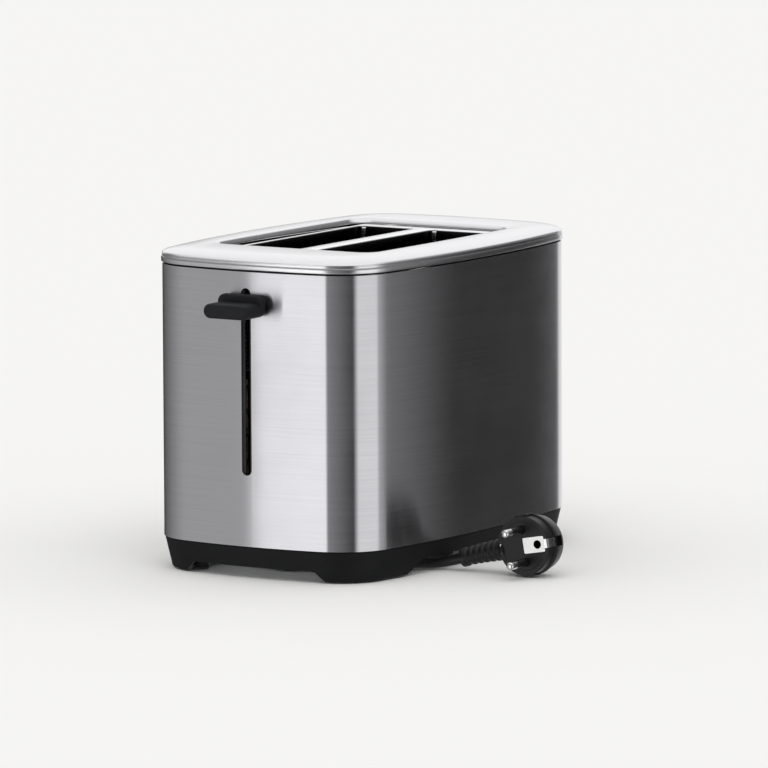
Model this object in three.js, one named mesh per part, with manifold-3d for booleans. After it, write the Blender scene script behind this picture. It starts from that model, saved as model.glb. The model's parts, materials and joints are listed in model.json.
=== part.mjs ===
// A two-slot pop-up toaster: brushed steel wrap, formed steel cover, black moulded base,
// lever carriage, bread guards that close on the bread, heater boards, slide-out crumb tray
// and a mains lead stored under the base. Millimetres, +Z up.
// The lever is on the -Y end, the controls on the -X side, and the lead leaves on the +X side.
import * as THREE from 'three';
import { mergeVertices } from 'three/addons/utils/BufferGeometryUtils.js';
import Module from 'manifold-3d';

// ---- Driving dimensions ----
const BODY = { width: 166, length: 258.5, sideRadius: 661, endRadius: 298, cornerRadius: 34.7 };
const ARC_STEPS = { side: 3, corner: 6, end: 2 };
const PLAIN = { bevelEnabled: false, curveSegments: 4 };
const GAP = 0.3;
const SHEET = 1;

const SHELL = { bottom: 19.4, top: 180.6 };
const LEVER_SLOT = { width: 6.8, bottom: 61.2, top: 171.1 };
const LEVER = { down: 92, stemLow: 156, stemHigh: 160.5, stemHalf: 1.25, stemFront: -136.35 };
const COVER = {
  bottom: 181.8, crown: 190.2, proud: 0.7, skirtTop: 184.7, noseLow: 186.5, noseReach: 20, noseSteps: 5,
  openX: 56, openY: 81, rimX: 55.2, rimY: 80.2, rimLow: 187, openRadius: 11,
};
const LINER = { top: 184.1, thick: 1.6 };
const DECK = { halfX: 46.5, halfY: 75, top: 187.4, sheet: 1.2, sleeveLow: 178, sleeveWall: 0.8 };
const SLOT = { inner: 6, outer: 44, halfY: 67 };
const BASE = {
  top: 19.1, shoulder: 16.6, taper: 8.4, footLow: 1, shelfLow: 16.8, wall: 2.6,
  trayHalf: 54.5, footFloor: 3.5, bossRadius: 4.6,
};
const ARCH = {
  front: { top: 42, bottom: 48, high: 6.9 },
  side: { top: 59.5, bottom: 72.2, high: 9.9 },
  footHeight: 0.6,
};
const FOOT = { x: 49.5, y: 107, radius: 7, height: 1.8, postHigh: 10.9 };
const SCREW = { x: 66, y: 75, shank: 1.7, head: 3.5, low: 9.4, headHeight: 1.5, high: 16 };
const PLATE = { low: 11.2, high: 12.6, inset: 6.2 };
const TRAY = { halfX: 52.5, front: -92, back: 118, low: 12.9, high: 19.1, sheet: 0.8 };
const CHASSIS = { halfX: 60, y: 91, low: 19.6, high: 178.6, flangeY: 122, flangeX: 40 };
const HEATER = { outerX: 54, low: 36, high: 166, halfY: 80, board: 0.8, runs: 9, ribbon: 2.2 };
const GUARD = {
  outerX: 45.3, innerX: 4.7, wire: 1.6, pivotZ: 32, high: 174, halfY: 84, verticals: 7, pinY: 93.6,
};
const SHIELD = { x: 58, thick: 0.8, halfY: 90.6, low: 22, high: 176 };
const RACK = {
  x: 25, blade: 1.2, low: 117, high: 121, front: -102.4, back: 97, barHalf: 11, bars: 7, barPitch: 20,
};
const RACK_WAY = { halfWidth: 2, halfHeight: 56, z: 78 };
const BRACKET = { back: -103, front: -104.5, halfX: 31, low: 114, high: 162 };
const ROD = { x: 13, y: -112, radius: 2.5, clearance: 0.3 };
const SPRING = { x: -14, y: -112, radius: 3.4, wire: 0.6, low: 121.7, high: 177.2, turns: 8 };
const SLIDER = { x: [6, 20], front: -118.5, z: [118, 152] };
const MAGNET = { x: -28, y: -113, halfX: 6, halfY: 5.6, low: 20.9, high: 34, coil: 2.4 };
const ARMATURE = { x: [-35, -21.6], y: [-118.2, -105.2], gap: 0.5, high: 129 };
const CONTROLS = { z: 100, halfY: 23, halfZ: 54, thick: 2.4, dialZ: 74, dialRadius: 16, dialDepth: 11 };
const WINDOW = { halfY: 16, halfZ: 42 };
const BUTTON = {
  firstZ: 106, pitch: 15, halfLength: 11, halfHeight: 4.5, proud: 2.6,
  names: ['stop', 'defrost', 'reheat'],
};
const BOARD = { face: -72, thick: 1.6, halfY: 20, low: 50, high: 150, dialPart: 8 };
const MAINS_BLOCK = { x: [34, 54], y: [-112, -94], z: [21, 37] };

const CORD = { diameter: 6.4, lane: 39.6, pitch: 6.7, halfStraight: 35, z: 7.25 };
const BOBBIN = { radius: 35.6, low: 3.6, high: 10.9, wall: 2, finger: 8, fingerLow: 1.8, fingerReach: 21 };
const GLAND = { back: -12, mouth: 10, radius: 3.3 };
const LEAD_OUT = { from: [35.4, -72.8, 7.0], to: [55.6, -53.8, 4.7] };
const LEAD_ROUTE = [
  [55.8, -53.6, 4.68], [65, -45.6, 3.9], [74, -39.9, 4.1], [82, -36.7, 5.55], [89.2, -35.2, 7.6],
];
const RELIEF_ROUTE = [
  [90.1, -35.1, 7.83], [98.6, -34.7, 10.2], [107.2, -34.5, 12.4], [115.7, -34.5, 14.4],
];
const RELIEF_RADIUS = 5.4;
const PLUG = {
  x: 135.2, face: -42, z: 18.7, radius: 18.4, depth: 20, tilt: 10,
  pinSpan: 19, pinLength: 19, pinRadius: 2.4, earthX: 9.5, earthRadius: 2.6, notch: 2.6,
};

// The part's origin is under the middle of everything but the lead.
const KNOB = {
  halfWidth: 15.2, back: -131.35, step: -136.4, front: -151.9, low: 155, stepHigh: 163.6, high: 168,
};
const TRAY_HANDLE = { halfX: 54, ledgeHalf: 24, ledgeLow: 16.6, inset: 1.4, back: 136.5 };
const LEFT_REACH = BODY.width / 2 + GAP + CONTROLS.thick + GAP + CONTROLS.dialDepth;
const RIGHT_REACH = BODY.width / 2 + COVER.proud;
const CENTRE = new THREE.Vector3((RIGHT_REACH - LEFT_REACH) / 2, (TRAY_HANDLE.back + KNOB.front) / 2, 0);

// ---- Solids: booleans and basic shapes ----
const wasm = await Module();
wasm.setup();

function solidOf(geometry) {
  const bare = geometry.clone();
  bare.deleteAttribute('normal');
  bare.deleteAttribute('uv');
  const merged = mergeVertices(bare, 1e-4);
  const triVerts = new Uint32Array(merged.index.array);
  const vertProperties = merged.attributes.position.array;
  return new wasm.Manifold(new wasm.Mesh({ numProp: 3, vertProperties, triVerts }));
}

function geometryOf(solid) {
  const mesh = solid.getMesh();
  const geometry = new THREE.BufferGeometry();
  geometry.setAttribute('position', new THREE.BufferAttribute(new Float32Array(mesh.vertProperties), 3));
  geometry.setIndex(new THREE.BufferAttribute(new Uint32Array(mesh.triVerts), 1));
  geometry.computeVertexNormals();
  return geometry;
}

const cut = (body, ...tools) =>
  geometryOf(tools.reduce((left, tool) => left.subtract(solidOf(tool)), solidOf(body)));
const join = (...pieces) =>
  geometryOf(pieces.map(solidOf).reduce((whole, piece) => whole.add(piece)));
const common = (first, second) => geometryOf(solidOf(first).intersect(solidOf(second)));

// A box between two corners.
function slab([x0, x1], [y0, y1], [z0, z1]) {
  const box = new THREE.BoxGeometry(x1 - x0, y1 - y0, z1 - z0);
  return box.translate((x0 + x1) / 2, (y0 + y1) / 2, (z0 + z1) / 2);
}

// A round bar between two points.
function bar(from, to, radius, sides = 16, endRadius = radius) {
  const start = new THREE.Vector3(...from);
  const along = new THREE.Vector3(...to).sub(start);
  const round = new THREE.CylinderGeometry(endRadius, radius, along.length(), sides);
  round.translate(0, along.length() / 2, 0);
  const up = new THREE.Vector3(0, 1, 0);
  const turn = new THREE.Quaternion().setFromUnitVectors(up, along.clone().normalize());
  return round.applyQuaternion(turn).translate(...from);
}

// An outline in X and Y, raised from one height to another.
function prism(shape, low, high) {
  const depth = high - low;
  return new THREE.ExtrudeGeometry(shape, { depth, ...PLAIN }).translate(0, 0, low);
}

// An outline drawn in X and Z, raised along Y.
const prismAlongY = (shape, low, high) => prism(shape, -high, -low).rotateX(Math.PI / 2);
// An outline drawn in Y and Z, raised along X.
const YZ_TO_X = new THREE.Matrix4().set(0, 0, 1, 0, 1, 0, 0, 0, 0, 1, 0, 0, 0, 0, 0, 1);
const prismAlongX = (shape, low, high) => prism(shape, low, high).applyMatrix4(YZ_TO_X);

// A rectangle with round corners; a corner radius of half the height makes a stadium.
function roundedRectangle(halfX, halfY, radius, x = 0, y = 0) {
  const shape = new THREE.Shape();
  shape.absarc(x + halfX - radius, y + halfY - radius, radius, 0, Math.PI / 2);
  shape.absarc(x - halfX + radius, y + halfY - radius, radius, Math.PI / 2, Math.PI);
  shape.absarc(x - halfX + radius, y - halfY + radius, radius, Math.PI, Math.PI * 1.5);
  shape.absarc(x + halfX - radius, y - halfY + radius, radius, Math.PI * 1.5, Math.PI * 2);
  return shape;
}

// A prism along Y with rounded front and back edges.
function softPrism(halfX, [low, high], [front, back], edge) {
  const halfZ = (high - low) / 2;
  const core = roundedRectangle(halfX - edge, halfZ - edge, halfZ - edge, 0, (low + high) / 2);
  const rounding = { bevelThickness: edge, bevelSize: edge, bevelSegments: 2, curveSegments: 4 };
  const soft = new THREE.ExtrudeGeometry(core, { ...rounding, depth: back - front - 2 * edge });
  return soft.rotateX(Math.PI / 2).translate(0, back - edge, 0);
}

// A tube of round section along a smooth line through the points.
function tube(points, radius, steps, sides = 10) {
  const section = new THREE.Shape();
  section.absarc(0, 0, radius, 0, Math.PI * 2);
  const line = new THREE.CatmullRomCurve3(points.map((point) => new THREE.Vector3(...point)));
  const sweep = { steps, extrudePath: line, curveSegments: sides / 2, bevelEnabled: false };
  return new THREE.ExtrudeGeometry(section, sweep);
}

// ---- Outlines of eight tangent arcs: two sides, two ends, four corners ----
function outline(halfX, halfY, sideRadius, endRadius, cornerRadius) {
  const sideCentre = halfX - sideRadius;
  const endCentre = halfY - endRadius;
  const toSide = sideRadius - cornerRadius;
  const toEnd = endRadius - cornerRadius;
  const apart = Math.hypot(sideCentre, endCentre);
  const along = (toSide ** 2 - toEnd ** 2 + apart ** 2) / (2 * apart);
  const across = Math.sqrt(toSide ** 2 - along ** 2);
  const line = [-sideCentre / apart, endCentre / apart];
  const x = sideCentre + along * line[0] - across * line[1];
  const y = along * line[1] + across * line[0];
  const sideTurn = Math.atan2(y, x - sideCentre);
  const endTurn = Math.atan2(y - endCentre, x);
  const quarter = [
    ...arc(sideCentre, 0, sideRadius, 0, sideTurn, ARC_STEPS.side),
    ...arc(x, y, cornerRadius, sideTurn, endTurn, ARC_STEPS.corner),
    ...arc(0, endCentre, endRadius, endTurn, Math.PI / 2, ARC_STEPS.end),
  ];
  const mirrored = quarter.slice(1).map(([px, py]) => [-px, py]).reverse();
  const half = [...quarter, [0, halfY], ...mirrored];
  return [...half, [-halfX, 0], ...half.slice(1).map(([px, py]) => [px, -py]).reverse()];
}

function arc(x, y, radius, start, end, steps) {
  return Array.from({ length: steps }, (_, i) => {
    const angle = start + ((end - start) * i) / steps;
    return [x + radius * Math.cos(angle), y + radius * Math.sin(angle)];
  });
}

// The body's outline moved inwards by an inset.
const bodyOutline = (inset) => outline(
  BODY.width / 2 - inset, BODY.length / 2 - inset,
  BODY.sideRadius - inset, BODY.endRadius - inset, BODY.cornerRadius - inset,
);
// The cover's bread opening: nearly straight sides, small corners.
const OPENING_BOW = { side: 3000, end: 2000 };
const openingOutline = (halfX, halfY) =>
  outline(halfX, halfY, OPENING_BOW.side, OPENING_BOW.end, COVER.openRadius);
const ring = (points, z) => points.map(([x, y]) => [x, y, z]);
const shapeOf = (points) => new THREE.Shape(points.map(([x, y]) => new THREE.Vector2(x, y)));

// Skins a stack of rings with the same number of points.
// Closed: the last ring joins the first. Open: flat caps.
function loft(rings, closed) {
  const count = rings[0].length;
  const index = [];
  const spans = closed ? rings.length : rings.length - 1;
  for (let i = 0; i < spans; i += 1) {
    const next = (i + 1) % rings.length;
    for (let j = 0; j < count; j += 1) {
      const k = (j + 1) % count;
      index.push(i * count + j, i * count + k, next * count + k);
      index.push(i * count + j, next * count + k, next * count + j);
    }
  }
  if (!closed) {
    const top = (rings.length - 1) * count;
    for (let j = 1; j < count - 1; j += 1) {
      index.push(0, j + 1, j);
      index.push(top, top + j, top + j + 1);
    }
  }
  const geometry = new THREE.BufferGeometry();
  geometry.setAttribute('position', new THREE.Float32BufferAttribute(rings.flat(2), 3));
  geometry.setIndex(index);
  return geometry;
}

// A wall that follows the body's outline.
const wall = (outer, inner, low, high) =>
  loft([ring(bodyOutline(inner), low), ring(bodyOutline(outer), low),
    ring(bodyOutline(outer), high), ring(bodyOutline(inner), high)], true);

// ---- The assembly ----
const FINISHES = {
  brushedSteel: { color: 0xb9b9bd, roughness: 0.34, metalness: 1 },
  satinSteel: { color: 0xd2d2d4, roughness: 0.28, metalness: 1 },
  galvanised: { color: 0x9da0a3, roughness: 0.45, metalness: 1 },
  wire: { color: 0xa9abae, roughness: 0.3, metalness: 1 },
  blackPlastic: { color: 0x1c1d20, roughness: 0.55, metalness: 0 },
  knobPlastic: { color: 0x292a2e, roughness: 0.5, metalness: 0 },
  rubber: { color: 0x3a3b3d, roughness: 0.85, metalness: 0 },
  cable: { color: 0x161618, roughness: 0.5, metalness: 0 },
  mica: { color: 0xb6a583, roughness: 0.6, metalness: 0 },
  nichrome: { color: 0x6c6660, roughness: 0.45, metalness: 1 },
  copper: { color: 0x9a5a33, roughness: 0.4, metalness: 1 },
  circuitBoard: { color: 0x2f6b3c, roughness: 0.6, metalness: 0 },
  whitePlastic: { color: 0xd8d6cf, roughness: 0.5, metalness: 0 },
  plated: { color: 0xc9c9c6, roughness: 0.2, metalness: 1 },
};

const toaster = new THREE.Group();
const inPlace = new THREE.Group();
inPlace.position.copy(CENTRE).negate();
toaster.add(inPlace);

function add(name, geometry, finish, parent = inPlace) {
  const mesh = new THREE.Mesh(geometry, new THREE.MeshStandardMaterial(FINISHES[finish]));
  mesh.name = name;
  parent.add(mesh);
  return mesh;
}

// Steel wrap with the lever's slot in front and the controls' window on the left.
function outerShell() {
  const slotMiddle = (LEVER_SLOT.bottom + LEVER_SLOT.top) / 2;
  const slotHalf = (LEVER_SLOT.top - LEVER_SLOT.bottom) / 2;
  const slot = roundedRectangle(LEVER_SLOT.width / 2, slotHalf, LEVER_SLOT.width / 2, 0, slotMiddle);
  const window = slab([-90, -70], [-WINDOW.halfY, WINDOW.halfY],
    [CONTROLS.z - WINDOW.halfZ, CONTROLS.z + WINDOW.halfZ]);
  return cut(wall(0, SHEET, SHELL.bottom, SHELL.top), prismAlongY(slot, -140, -120), window);
}

// Formed cover: skirt, shadow groove, bull-nose rim, flat crown and an inner wall down to the slot deck.
function topFrame() {
  const { bottom, crown, proud, skirtTop, noseLow, noseReach, noseSteps } = COVER;
  const { openX, openY, rimX, rimY, rimLow } = COVER;
  const groove = [[0.5, skirtTop + 0.3], [0.5, noseLow - 0.3]];
  const outside = [[-proud, bottom], [-proud, skirtTop], ...groove, [-0.3, noseLow]];
  const rings = outside.map(([inset, z]) => ring(bodyOutline(inset), z));
  for (let i = 1; i <= noseSteps; i += 1) {
    const turn = (i / noseSteps) * (Math.PI / 2);
    const inset = noseReach * (1 - Math.cos(turn)) - 0.3;
    rings.push(ring(bodyOutline(inset), noseLow + (crown - noseLow) * Math.sin(turn)));
  }
  rings.push(ring(openingOutline(openX + 1.5, openY + 2), crown - 0.1));
  rings.push(ring(openingOutline(openX, openY), crown - 0.8));
  rings.push(ring(openingOutline(rimX + 0.2, rimY + 0.2), crown - 2));
  rings.push(ring(openingOutline(rimX, rimY), rimLow));
  rings.push(ring(openingOutline(rimX + SHEET, rimY + SHEET), rimLow));
  rings.push(ring(openingOutline(openX + 1.5, openY + 2), crown - 1.8));
  rings.push(ring(bodyOutline(noseReach), crown - 1.4));
  rings.push(ring(bodyOutline(4), 187.2));
  rings.push(ring(bodyOutline(1.8), 185.4));
  rings.push(ring(bodyOutline(1.8), bottom));
  return loft(rings, true);
}

// Polished deck: two sleeved bread slots with a bar between them.
function slotDeck() {
  const { halfX, halfY, top, sheet, sleeveLow, sleeveWall } = DECK;
  const lipLow = LINER.top + GAP;
  const skirt = cut(slab([-halfX, halfX], [-halfY, halfY], [lipLow, top]),
    slab([-halfX + sheet, halfX - sheet], [-halfY + sheet, halfY - sheet], [lipLow - 1, top - sheet]));
  const sleeves = [-1, 1].map((side) => slotBlock(side, sleeveWall, sleeveLow, top));
  const holes = [-1, 1].map((side) => slotBlock(side, 0, sleeveLow - 1, top + 1));
  return cut(join(skirt, ...sleeves), ...holes);
}

// The space of one bread slot, grown by a margin.
function slotBlock(side, margin, low, high) {
  const across = [side * (SLOT.inner - margin), side * (SLOT.outer + margin)].sort((a, b) => a - b);
  return slab(across, [-SLOT.halfY - margin, SLOT.halfY + margin], [low, high]);
}

// Black pan under the deck: its floor shows as the dark channels beside the deck.
function deckLiner() {
  const pan = slab([-60, 60], [-92, 92], [LINER.top - LINER.thick, LINER.top]);
  return cut(pan, ...[-1, 1].map((side) => slotBlock(side, DECK.sleeveWall + GAP, 170, 200)));
}

// Moulded base: tapered skirt, four corner feet with posts for the pads, inner shelf, screw bosses
// and the crumb tray's doorway.
function base() {
  const profile = [[4.7, BASE.footLow], [3, BASE.taper], [1.1, BASE.shoulder], [0.5, BASE.top]];
  const outside = loft(profile.map(([inset, z]) => ring(bodyOutline(inset), z)), false);
  const inside = loft([[4.2, BASE.footFloor], [3, BASE.taper], [1.6, BASE.shelfLow]]
    .map(([inset, z]) => ring(bodyOutline(inset + BASE.wall), z)), false);
  const frontGap = archway(ARCH.front);
  const sideGap = archway(ARCH.side);
  const boss = (x, y) => bar([x, y, PLATE.high + 0.4], [x, y, BASE.shelfLow + 0.5], BASE.bossRadius, 12);
  const bosses = corners(SCREW.x, SCREW.y).map(([x, y]) => boss(x, y));
  const posts = corners(FOOT.x, FOOT.y).map(([x, y]) =>
    bar([x, y, FOOT.height + GAP], [x, y, FOOT.postHigh], FOOT.radius, 20));
  const holes = corners(SCREW.x, SCREW.y).map(([x, y]) =>
    bar([x, y, PLATE.high - 0.6], [x, y, SCREW.high + 0.4], SCREW.shank + GAP, 12));
  const recesses = corners(FOOT.x, FOOT.y).map(([x, y]) =>
    bar([x, y, 0], [x, y, FOOT.height + GAP], FOOT.radius + GAP, 20));
  const hollow = cut(outside, inside,
    prismAlongY(frontGap, -200, 200), prismAlongX(sideGap, -200, 200),
    slab([-BASE.trayHalf, BASE.trayHalf], [-100, 110], [14, 25]),
    slab([-BASE.trayHalf, BASE.trayHalf], [100, 150], [PLATE.high, 25]), ...recesses);
  return cut(join(hollow, ...posts, ...bosses), ...holes);
}

// The opening under the skirt between two feet: sloped ends, open below.
function archway({ top, bottom, high }) {
  return shapeOf([[-bottom, -1], [bottom, -1], [bottom, ARCH.footHeight],
    [top, high], [-top, high], [-bottom, ARCH.footHeight]]);
}

const corners = (x, y) => [[x, y], [-x, y], [-x, -y], [x, -y]];

// Sheet that closes the base, with vents outside the cord store and screw holes.
function bottomPlate() {
  const plate = prism(shapeOf(bodyOutline(PLATE.inset)), PLATE.low, PLATE.high);
  const vents = [];
  for (let row = -1; row <= 1; row += 1) {
    for (const side of [-1, 1]) {
      const x = [side * 61, side * 65].sort((a, b) => a - b);
      vents.push(slab(x, [row * 44 - 16, row * 44 + 16], [PLATE.low - 1, PLATE.high + 1]));
    }
  }
  const holes = corners(SCREW.x, SCREW.y).map(([x, y]) =>
    bar([x, y, PLATE.low - 1], [x, y, PLATE.high + 1], SCREW.shank + GAP, 12));
  return cut(plate, ...vents, ...holes);
}

const racetrack = (radius) => roundedRectangle(radius, radius + CORD.halfStraight, radius);

// Cord store: a rimmed wall that the lead is wound on, and four fingers that hold the turns up.
function cordBobbin() {
  const rim = cut(prism(racetrack(BOBBIN.radius), BOBBIN.low, BOBBIN.high),
    prism(racetrack(BOBBIN.radius - BOBBIN.wall), BOBBIN.low - 1, BOBBIN.high + 1));
  const { finger, fingerLow, low, high } = BOBBIN;
  const reach = BOBBIN.radius + BOBBIN.fingerReach;
  const fingerTop = low - 0.1;
  const fingers = join(
    slab([-reach, reach], [-finger, finger], [fingerLow, fingerTop]),
    slab([-finger, finger], [-reach - CORD.halfStraight, reach + CORD.halfStraight], [fingerLow, fingerTop]),
  );
  const webs = [slab([-34, 34], [-1, 1], [fingerLow, high]), slab([-1, 1], [-69, 69], [fingerLow, high])];
  const ribs = [-1, 1].map((side) => slab([-34, 34], [side * 34 - 1, side * 34 + 1], [low, high]));
  const sideRibs = [-1, 1].map((side) => slab([side * 17 - 1, side * 17 + 1], [-58, 58], [low, high]));
  return join(rim, fingers, ...webs, ...ribs, ...sideRibs);
}

// Sheet-metal tray that slides out of the back.
function crumbTray() {
  const { halfX, front, back, low, high, sheet } = TRAY;
  return cut(slab([-halfX, halfX], [front, back], [low, high]),
    slab([-halfX + sheet, halfX - sheet], [front + sheet, back - sheet], [low + sheet, high + 1]));
}

// Moulded end of the tray: it continues the base's outline and carries a finger ledge.
function trayHandle() {
  const { halfX, ledgeHalf, ledgeLow, inset, back } = TRAY_HANDLE;
  const high = TRAY.high - GAP;
  const end = common(prism(shapeOf(bodyOutline(inset)), TRAY.low, high),
    slab([-halfX, halfX], [TRAY.back + GAP, 200], [0, 40]));
  const ledge = prism(roundedRectangle(ledgeHalf, 5, 4, 0, back - 5), ledgeLow, high);
  return join(end, ledge);
}

// End plate of the heating chamber: slots for the racks, holes for the guards' pivots.
function endPlate(side) {
  const y = [side * CHASSIS.y, side * (CHASSIS.y + SHEET)].sort((a, b) => a - b);
  const plate = slab([-CHASSIS.halfX, CHASSIS.halfX], y, [CHASSIS.low, CHASSIS.high]);
  const slots = [-1, 1].map((rack) => {
    const { halfWidth, halfHeight, z } = RACK_WAY;
    const shape = roundedRectangle(halfWidth, halfHeight, halfWidth, rack * RACK.x, z);
    return prismAlongY(shape, y[0] - 1, y[1] + 1);
  });
  const pivots = [GUARD.outerX, GUARD.innerX].flatMap((x) => [x, -x])
    .map((x) => bar([x, y[0] - 1, GUARD.pivotZ], [x, y[1] + 1, GUARD.pivotZ], 1.5, 10));
  return cut(plate, ...slots, ...pivots);
}

// Front end plate with the shelves that hold the guide rod.
function frontChassis() {
  const { flangeX, flangeY, y } = CHASSIS;
  const shelf = (low) => slab([-flangeX, flangeX], [-flangeY, -y - 0.5], [low, low + SHEET]);
  return join(endPlate(-1), shelf(CHASSIS.low), shelf(CHASSIS.high - SHEET));
}

// Resistance ribbon laid to and fro over a heater board.
function heaterRibbon(x) {
  const { low, high, halfY, runs, ribbon } = HEATER;
  const pitch = (high - low - 14) / (runs - 1);
  const reach = halfY - 6;
  const pieces = [];
  for (let run = 0; run < runs; run += 1) {
    const z = low + 7 + run * pitch;
    pieces.push(slab([x, x + 0.5], [-reach, reach], [z - ribbon / 2, z + ribbon / 2]));
    if (run < runs - 1) {
      const end = run % 2 ? -reach : reach - ribbon;
      pieces.push(slab([x, x + 0.5], [end, end + ribbon], [z, z + pitch]));
    }
  }
  return join(...pieces);
}

// Wire guard that stands beside the bread and leans in on it; its lowest wire is its pivot.
function breadGuard(x) {
  const { wire, pivotZ, high, halfY, verticals, pinY } = GUARD;
  const rod = ([y0, y1], [z0, z1]) => slab([x - wire / 2, x + wire / 2], [y0, y1], [z0, z1]);
  const pieces = [];
  for (let i = 0; i < verticals; i += 1) {
    const y = -halfY + (2 * halfY * i) / (verticals - 1);
    pieces.push(rod([y - wire / 2, y + wire / 2], [pivotZ, high]));
  }
  for (const z of [high - 60, high - 4]) {
    pieces.push(rod([-halfY, halfY], [z - wire / 2, z + wire / 2]));
  }
  pieces.push(rod([-pinY, pinY], [pivotZ - wire / 2, pivotZ + wire / 2]));
  return join(...pieces);
}

// Bread lift: a long blade through both end plates with cross bars under the bread.
function breadRack(x) {
  const blade = slab([x - RACK.blade, x + RACK.blade], [RACK.front, RACK.back], [RACK.low, RACK.high]);
  const bars = [];
  for (let i = 0; i < RACK.bars; i += 1) {
    const y = (i - (RACK.bars - 1) / 2) * RACK.barPitch;
    bars.push(slab([x - RACK.barHalf, x + RACK.barHalf], [y - 1, y + 1], [RACK.high - 2, RACK.high + 0.4]));
  }
  return join(blade, ...bars);
}

// Carriage bracket with an ear for the spring and one over the armature.
function carriageBracket() {
  const { back, front, halfX, low, high } = BRACKET;
  const plate = slab([-halfX, halfX], [front, back], [low, high]);
  const springEar = slab([-18, -10], [-116, front + 0.5], [SPRING.low - 1.8, SPRING.low - GAP]);
  const magnetEar = slab([-36, -21], [-118, front + 0.5], [ARMATURE.high + GAP, ARMATURE.high + GAP + 1.5]);
  const window = slab([-8, 8], [front - 1, back + 1], [126, 146]);
  return cut(join(plate, springEar, magnetEar), window);
}

// Two-tier finger knob: a tall rear bar and a lower, longer front one, with a socket for the stem.
function leverKnob() {
  const { halfWidth, back, step, front, low, stepHigh, high } = KNOB;
  const rear = softPrism(halfWidth, [low, high], [step, back], 1.1);
  const nose = softPrism(halfWidth, [low, stepHigh], [front, step + 2], 1.5);
  const half = LEVER.stemHalf + GAP;
  const socket = slab([-half, half], [LEVER.stemFront - 2.4, -120],
    [LEVER.stemLow - GAP, LEVER.stemHigh + GAP]);
  return cut(join(rear, nose), socket);
}

// Extension spring: a square-section helix between the top shelf and the bracket's ear.
function carriageSpring() {
  const { x, y, radius, wire, low, high, turns } = SPRING;
  const perTurn = 8;
  const points = Array.from({ length: turns * perTurn + 1 }, (_, i) => {
    const angle = (i / perTurn) * Math.PI * 2;
    const z = low + wire + ((high - low - 2 * wire) * i) / (turns * perTurn);
    return [x + radius * Math.cos(angle), y + radius * Math.sin(angle), z];
  });
  return tube(points, wire, turns * perTurn, 4);
}

function magnet() {
  const { x, y, halfX, halfY, low, high, coil } = MAGNET;
  const block = slab([x - halfX, x + halfX], [y - halfY, y + halfY], [low, high]);
  const windows = [-1, 1].map((side) => {
    const edges = [x + side * 2, x + side * 4.2].sort((a, b) => a - b);
    return slab(edges, [y - halfY - 1, y + halfY + 1], [low + 3, high + 1]);
  });
  const core = cut(block, ...windows);
  const coilReach = halfY + coil;
  const coilBlock = slab([x - 3.9, x + 3.9], [y - coilReach, y + coilReach], [low + 3.4, high - 2]);
  const bore = slab([x - 2.3, x + 2.3], [y - halfY - GAP, y + halfY + GAP], [low, high + 1]);
  return { core, coil: cut(coilBlock, bore) };
}

// ---- Body ----
add('outer_shell', outerShell(), 'brushedSteel');
add('joint_gasket', wall(0.9, 5, SHELL.top + GAP, COVER.bottom - GAP), 'blackPlastic');
add('top_frame', topFrame(), 'satinSteel');
add('slot_deck', slotDeck(), 'satinSteel');
add('deck_liner', deckLiner(), 'blackPlastic');
add('base', base(), 'blackPlastic');
add('bottom_plate', bottomPlate(), 'galvanised');
add('cord_bobbin', cordBobbin(), 'blackPlastic');
corners(FOOT.x, FOOT.y).forEach(([x, y], i) => {
  add(`rubber_foot_${i + 1}`, bar([x, y, 0], [x, y, FOOT.height], FOOT.radius, 20), 'rubber');
});
corners(SCREW.x, SCREW.y).forEach(([x, y], i) => {
  const head = bar([x, y, SCREW.low], [x, y, SCREW.low + SCREW.headHeight], SCREW.head, 12);
  const shank = bar([x, y, SCREW.low + 1], [x, y, SCREW.high], SCREW.shank, 10);
  add(`base_screw_${i + 1}`, join(head, shank), 'galvanised');
});
add('crumb_tray', crumbTray(), 'galvanised');
add('crumb_tray_handle', trayHandle(), 'blackPlastic');

// ---- Heating chamber ----
add('chassis_front', frontChassis(), 'galvanised');
add('chassis_rear', endPlate(1), 'galvanised');
for (const [name, side] of [['left', -1], ['right', 1]]) {
  const shield = [side * SHIELD.x, side * (SHIELD.x + SHIELD.thick)].sort((a, b) => a - b);
  add(`heat_shield_${name}`,
    slab(shield, [-SHIELD.halfY, SHIELD.halfY], [SHIELD.low, SHIELD.high]), 'galvanised');
  const board = side * HEATER.outerX;
  add(`heater_board_${name}`, micaBoard(board), 'mica');
  add(`heater_ribbon_${name}`, heaterRibbon(board - side * 1.0 - 0.25), 'nichrome');
  add(`heater_ribbon_centre_${name}`, heaterRibbon(side * 1.0 - 0.25), 'nichrome');
  add(`bread_guard_${name}_outer`, breadGuard(side * GUARD.outerX), 'wire');
  add(`bread_guard_${name}_inner`, breadGuard(side * GUARD.innerX), 'wire');
  add(`bread_rack_${name}`, breadRack(side * RACK.x), 'wire');
}
add('heater_board_centre', micaBoard(0), 'mica');

function micaBoard(x) {
  const half = HEATER.board / 2;
  return slab([x - half, x + half], [-HEATER.halfY, HEATER.halfY], [HEATER.low, HEATER.high]);
}

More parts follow.
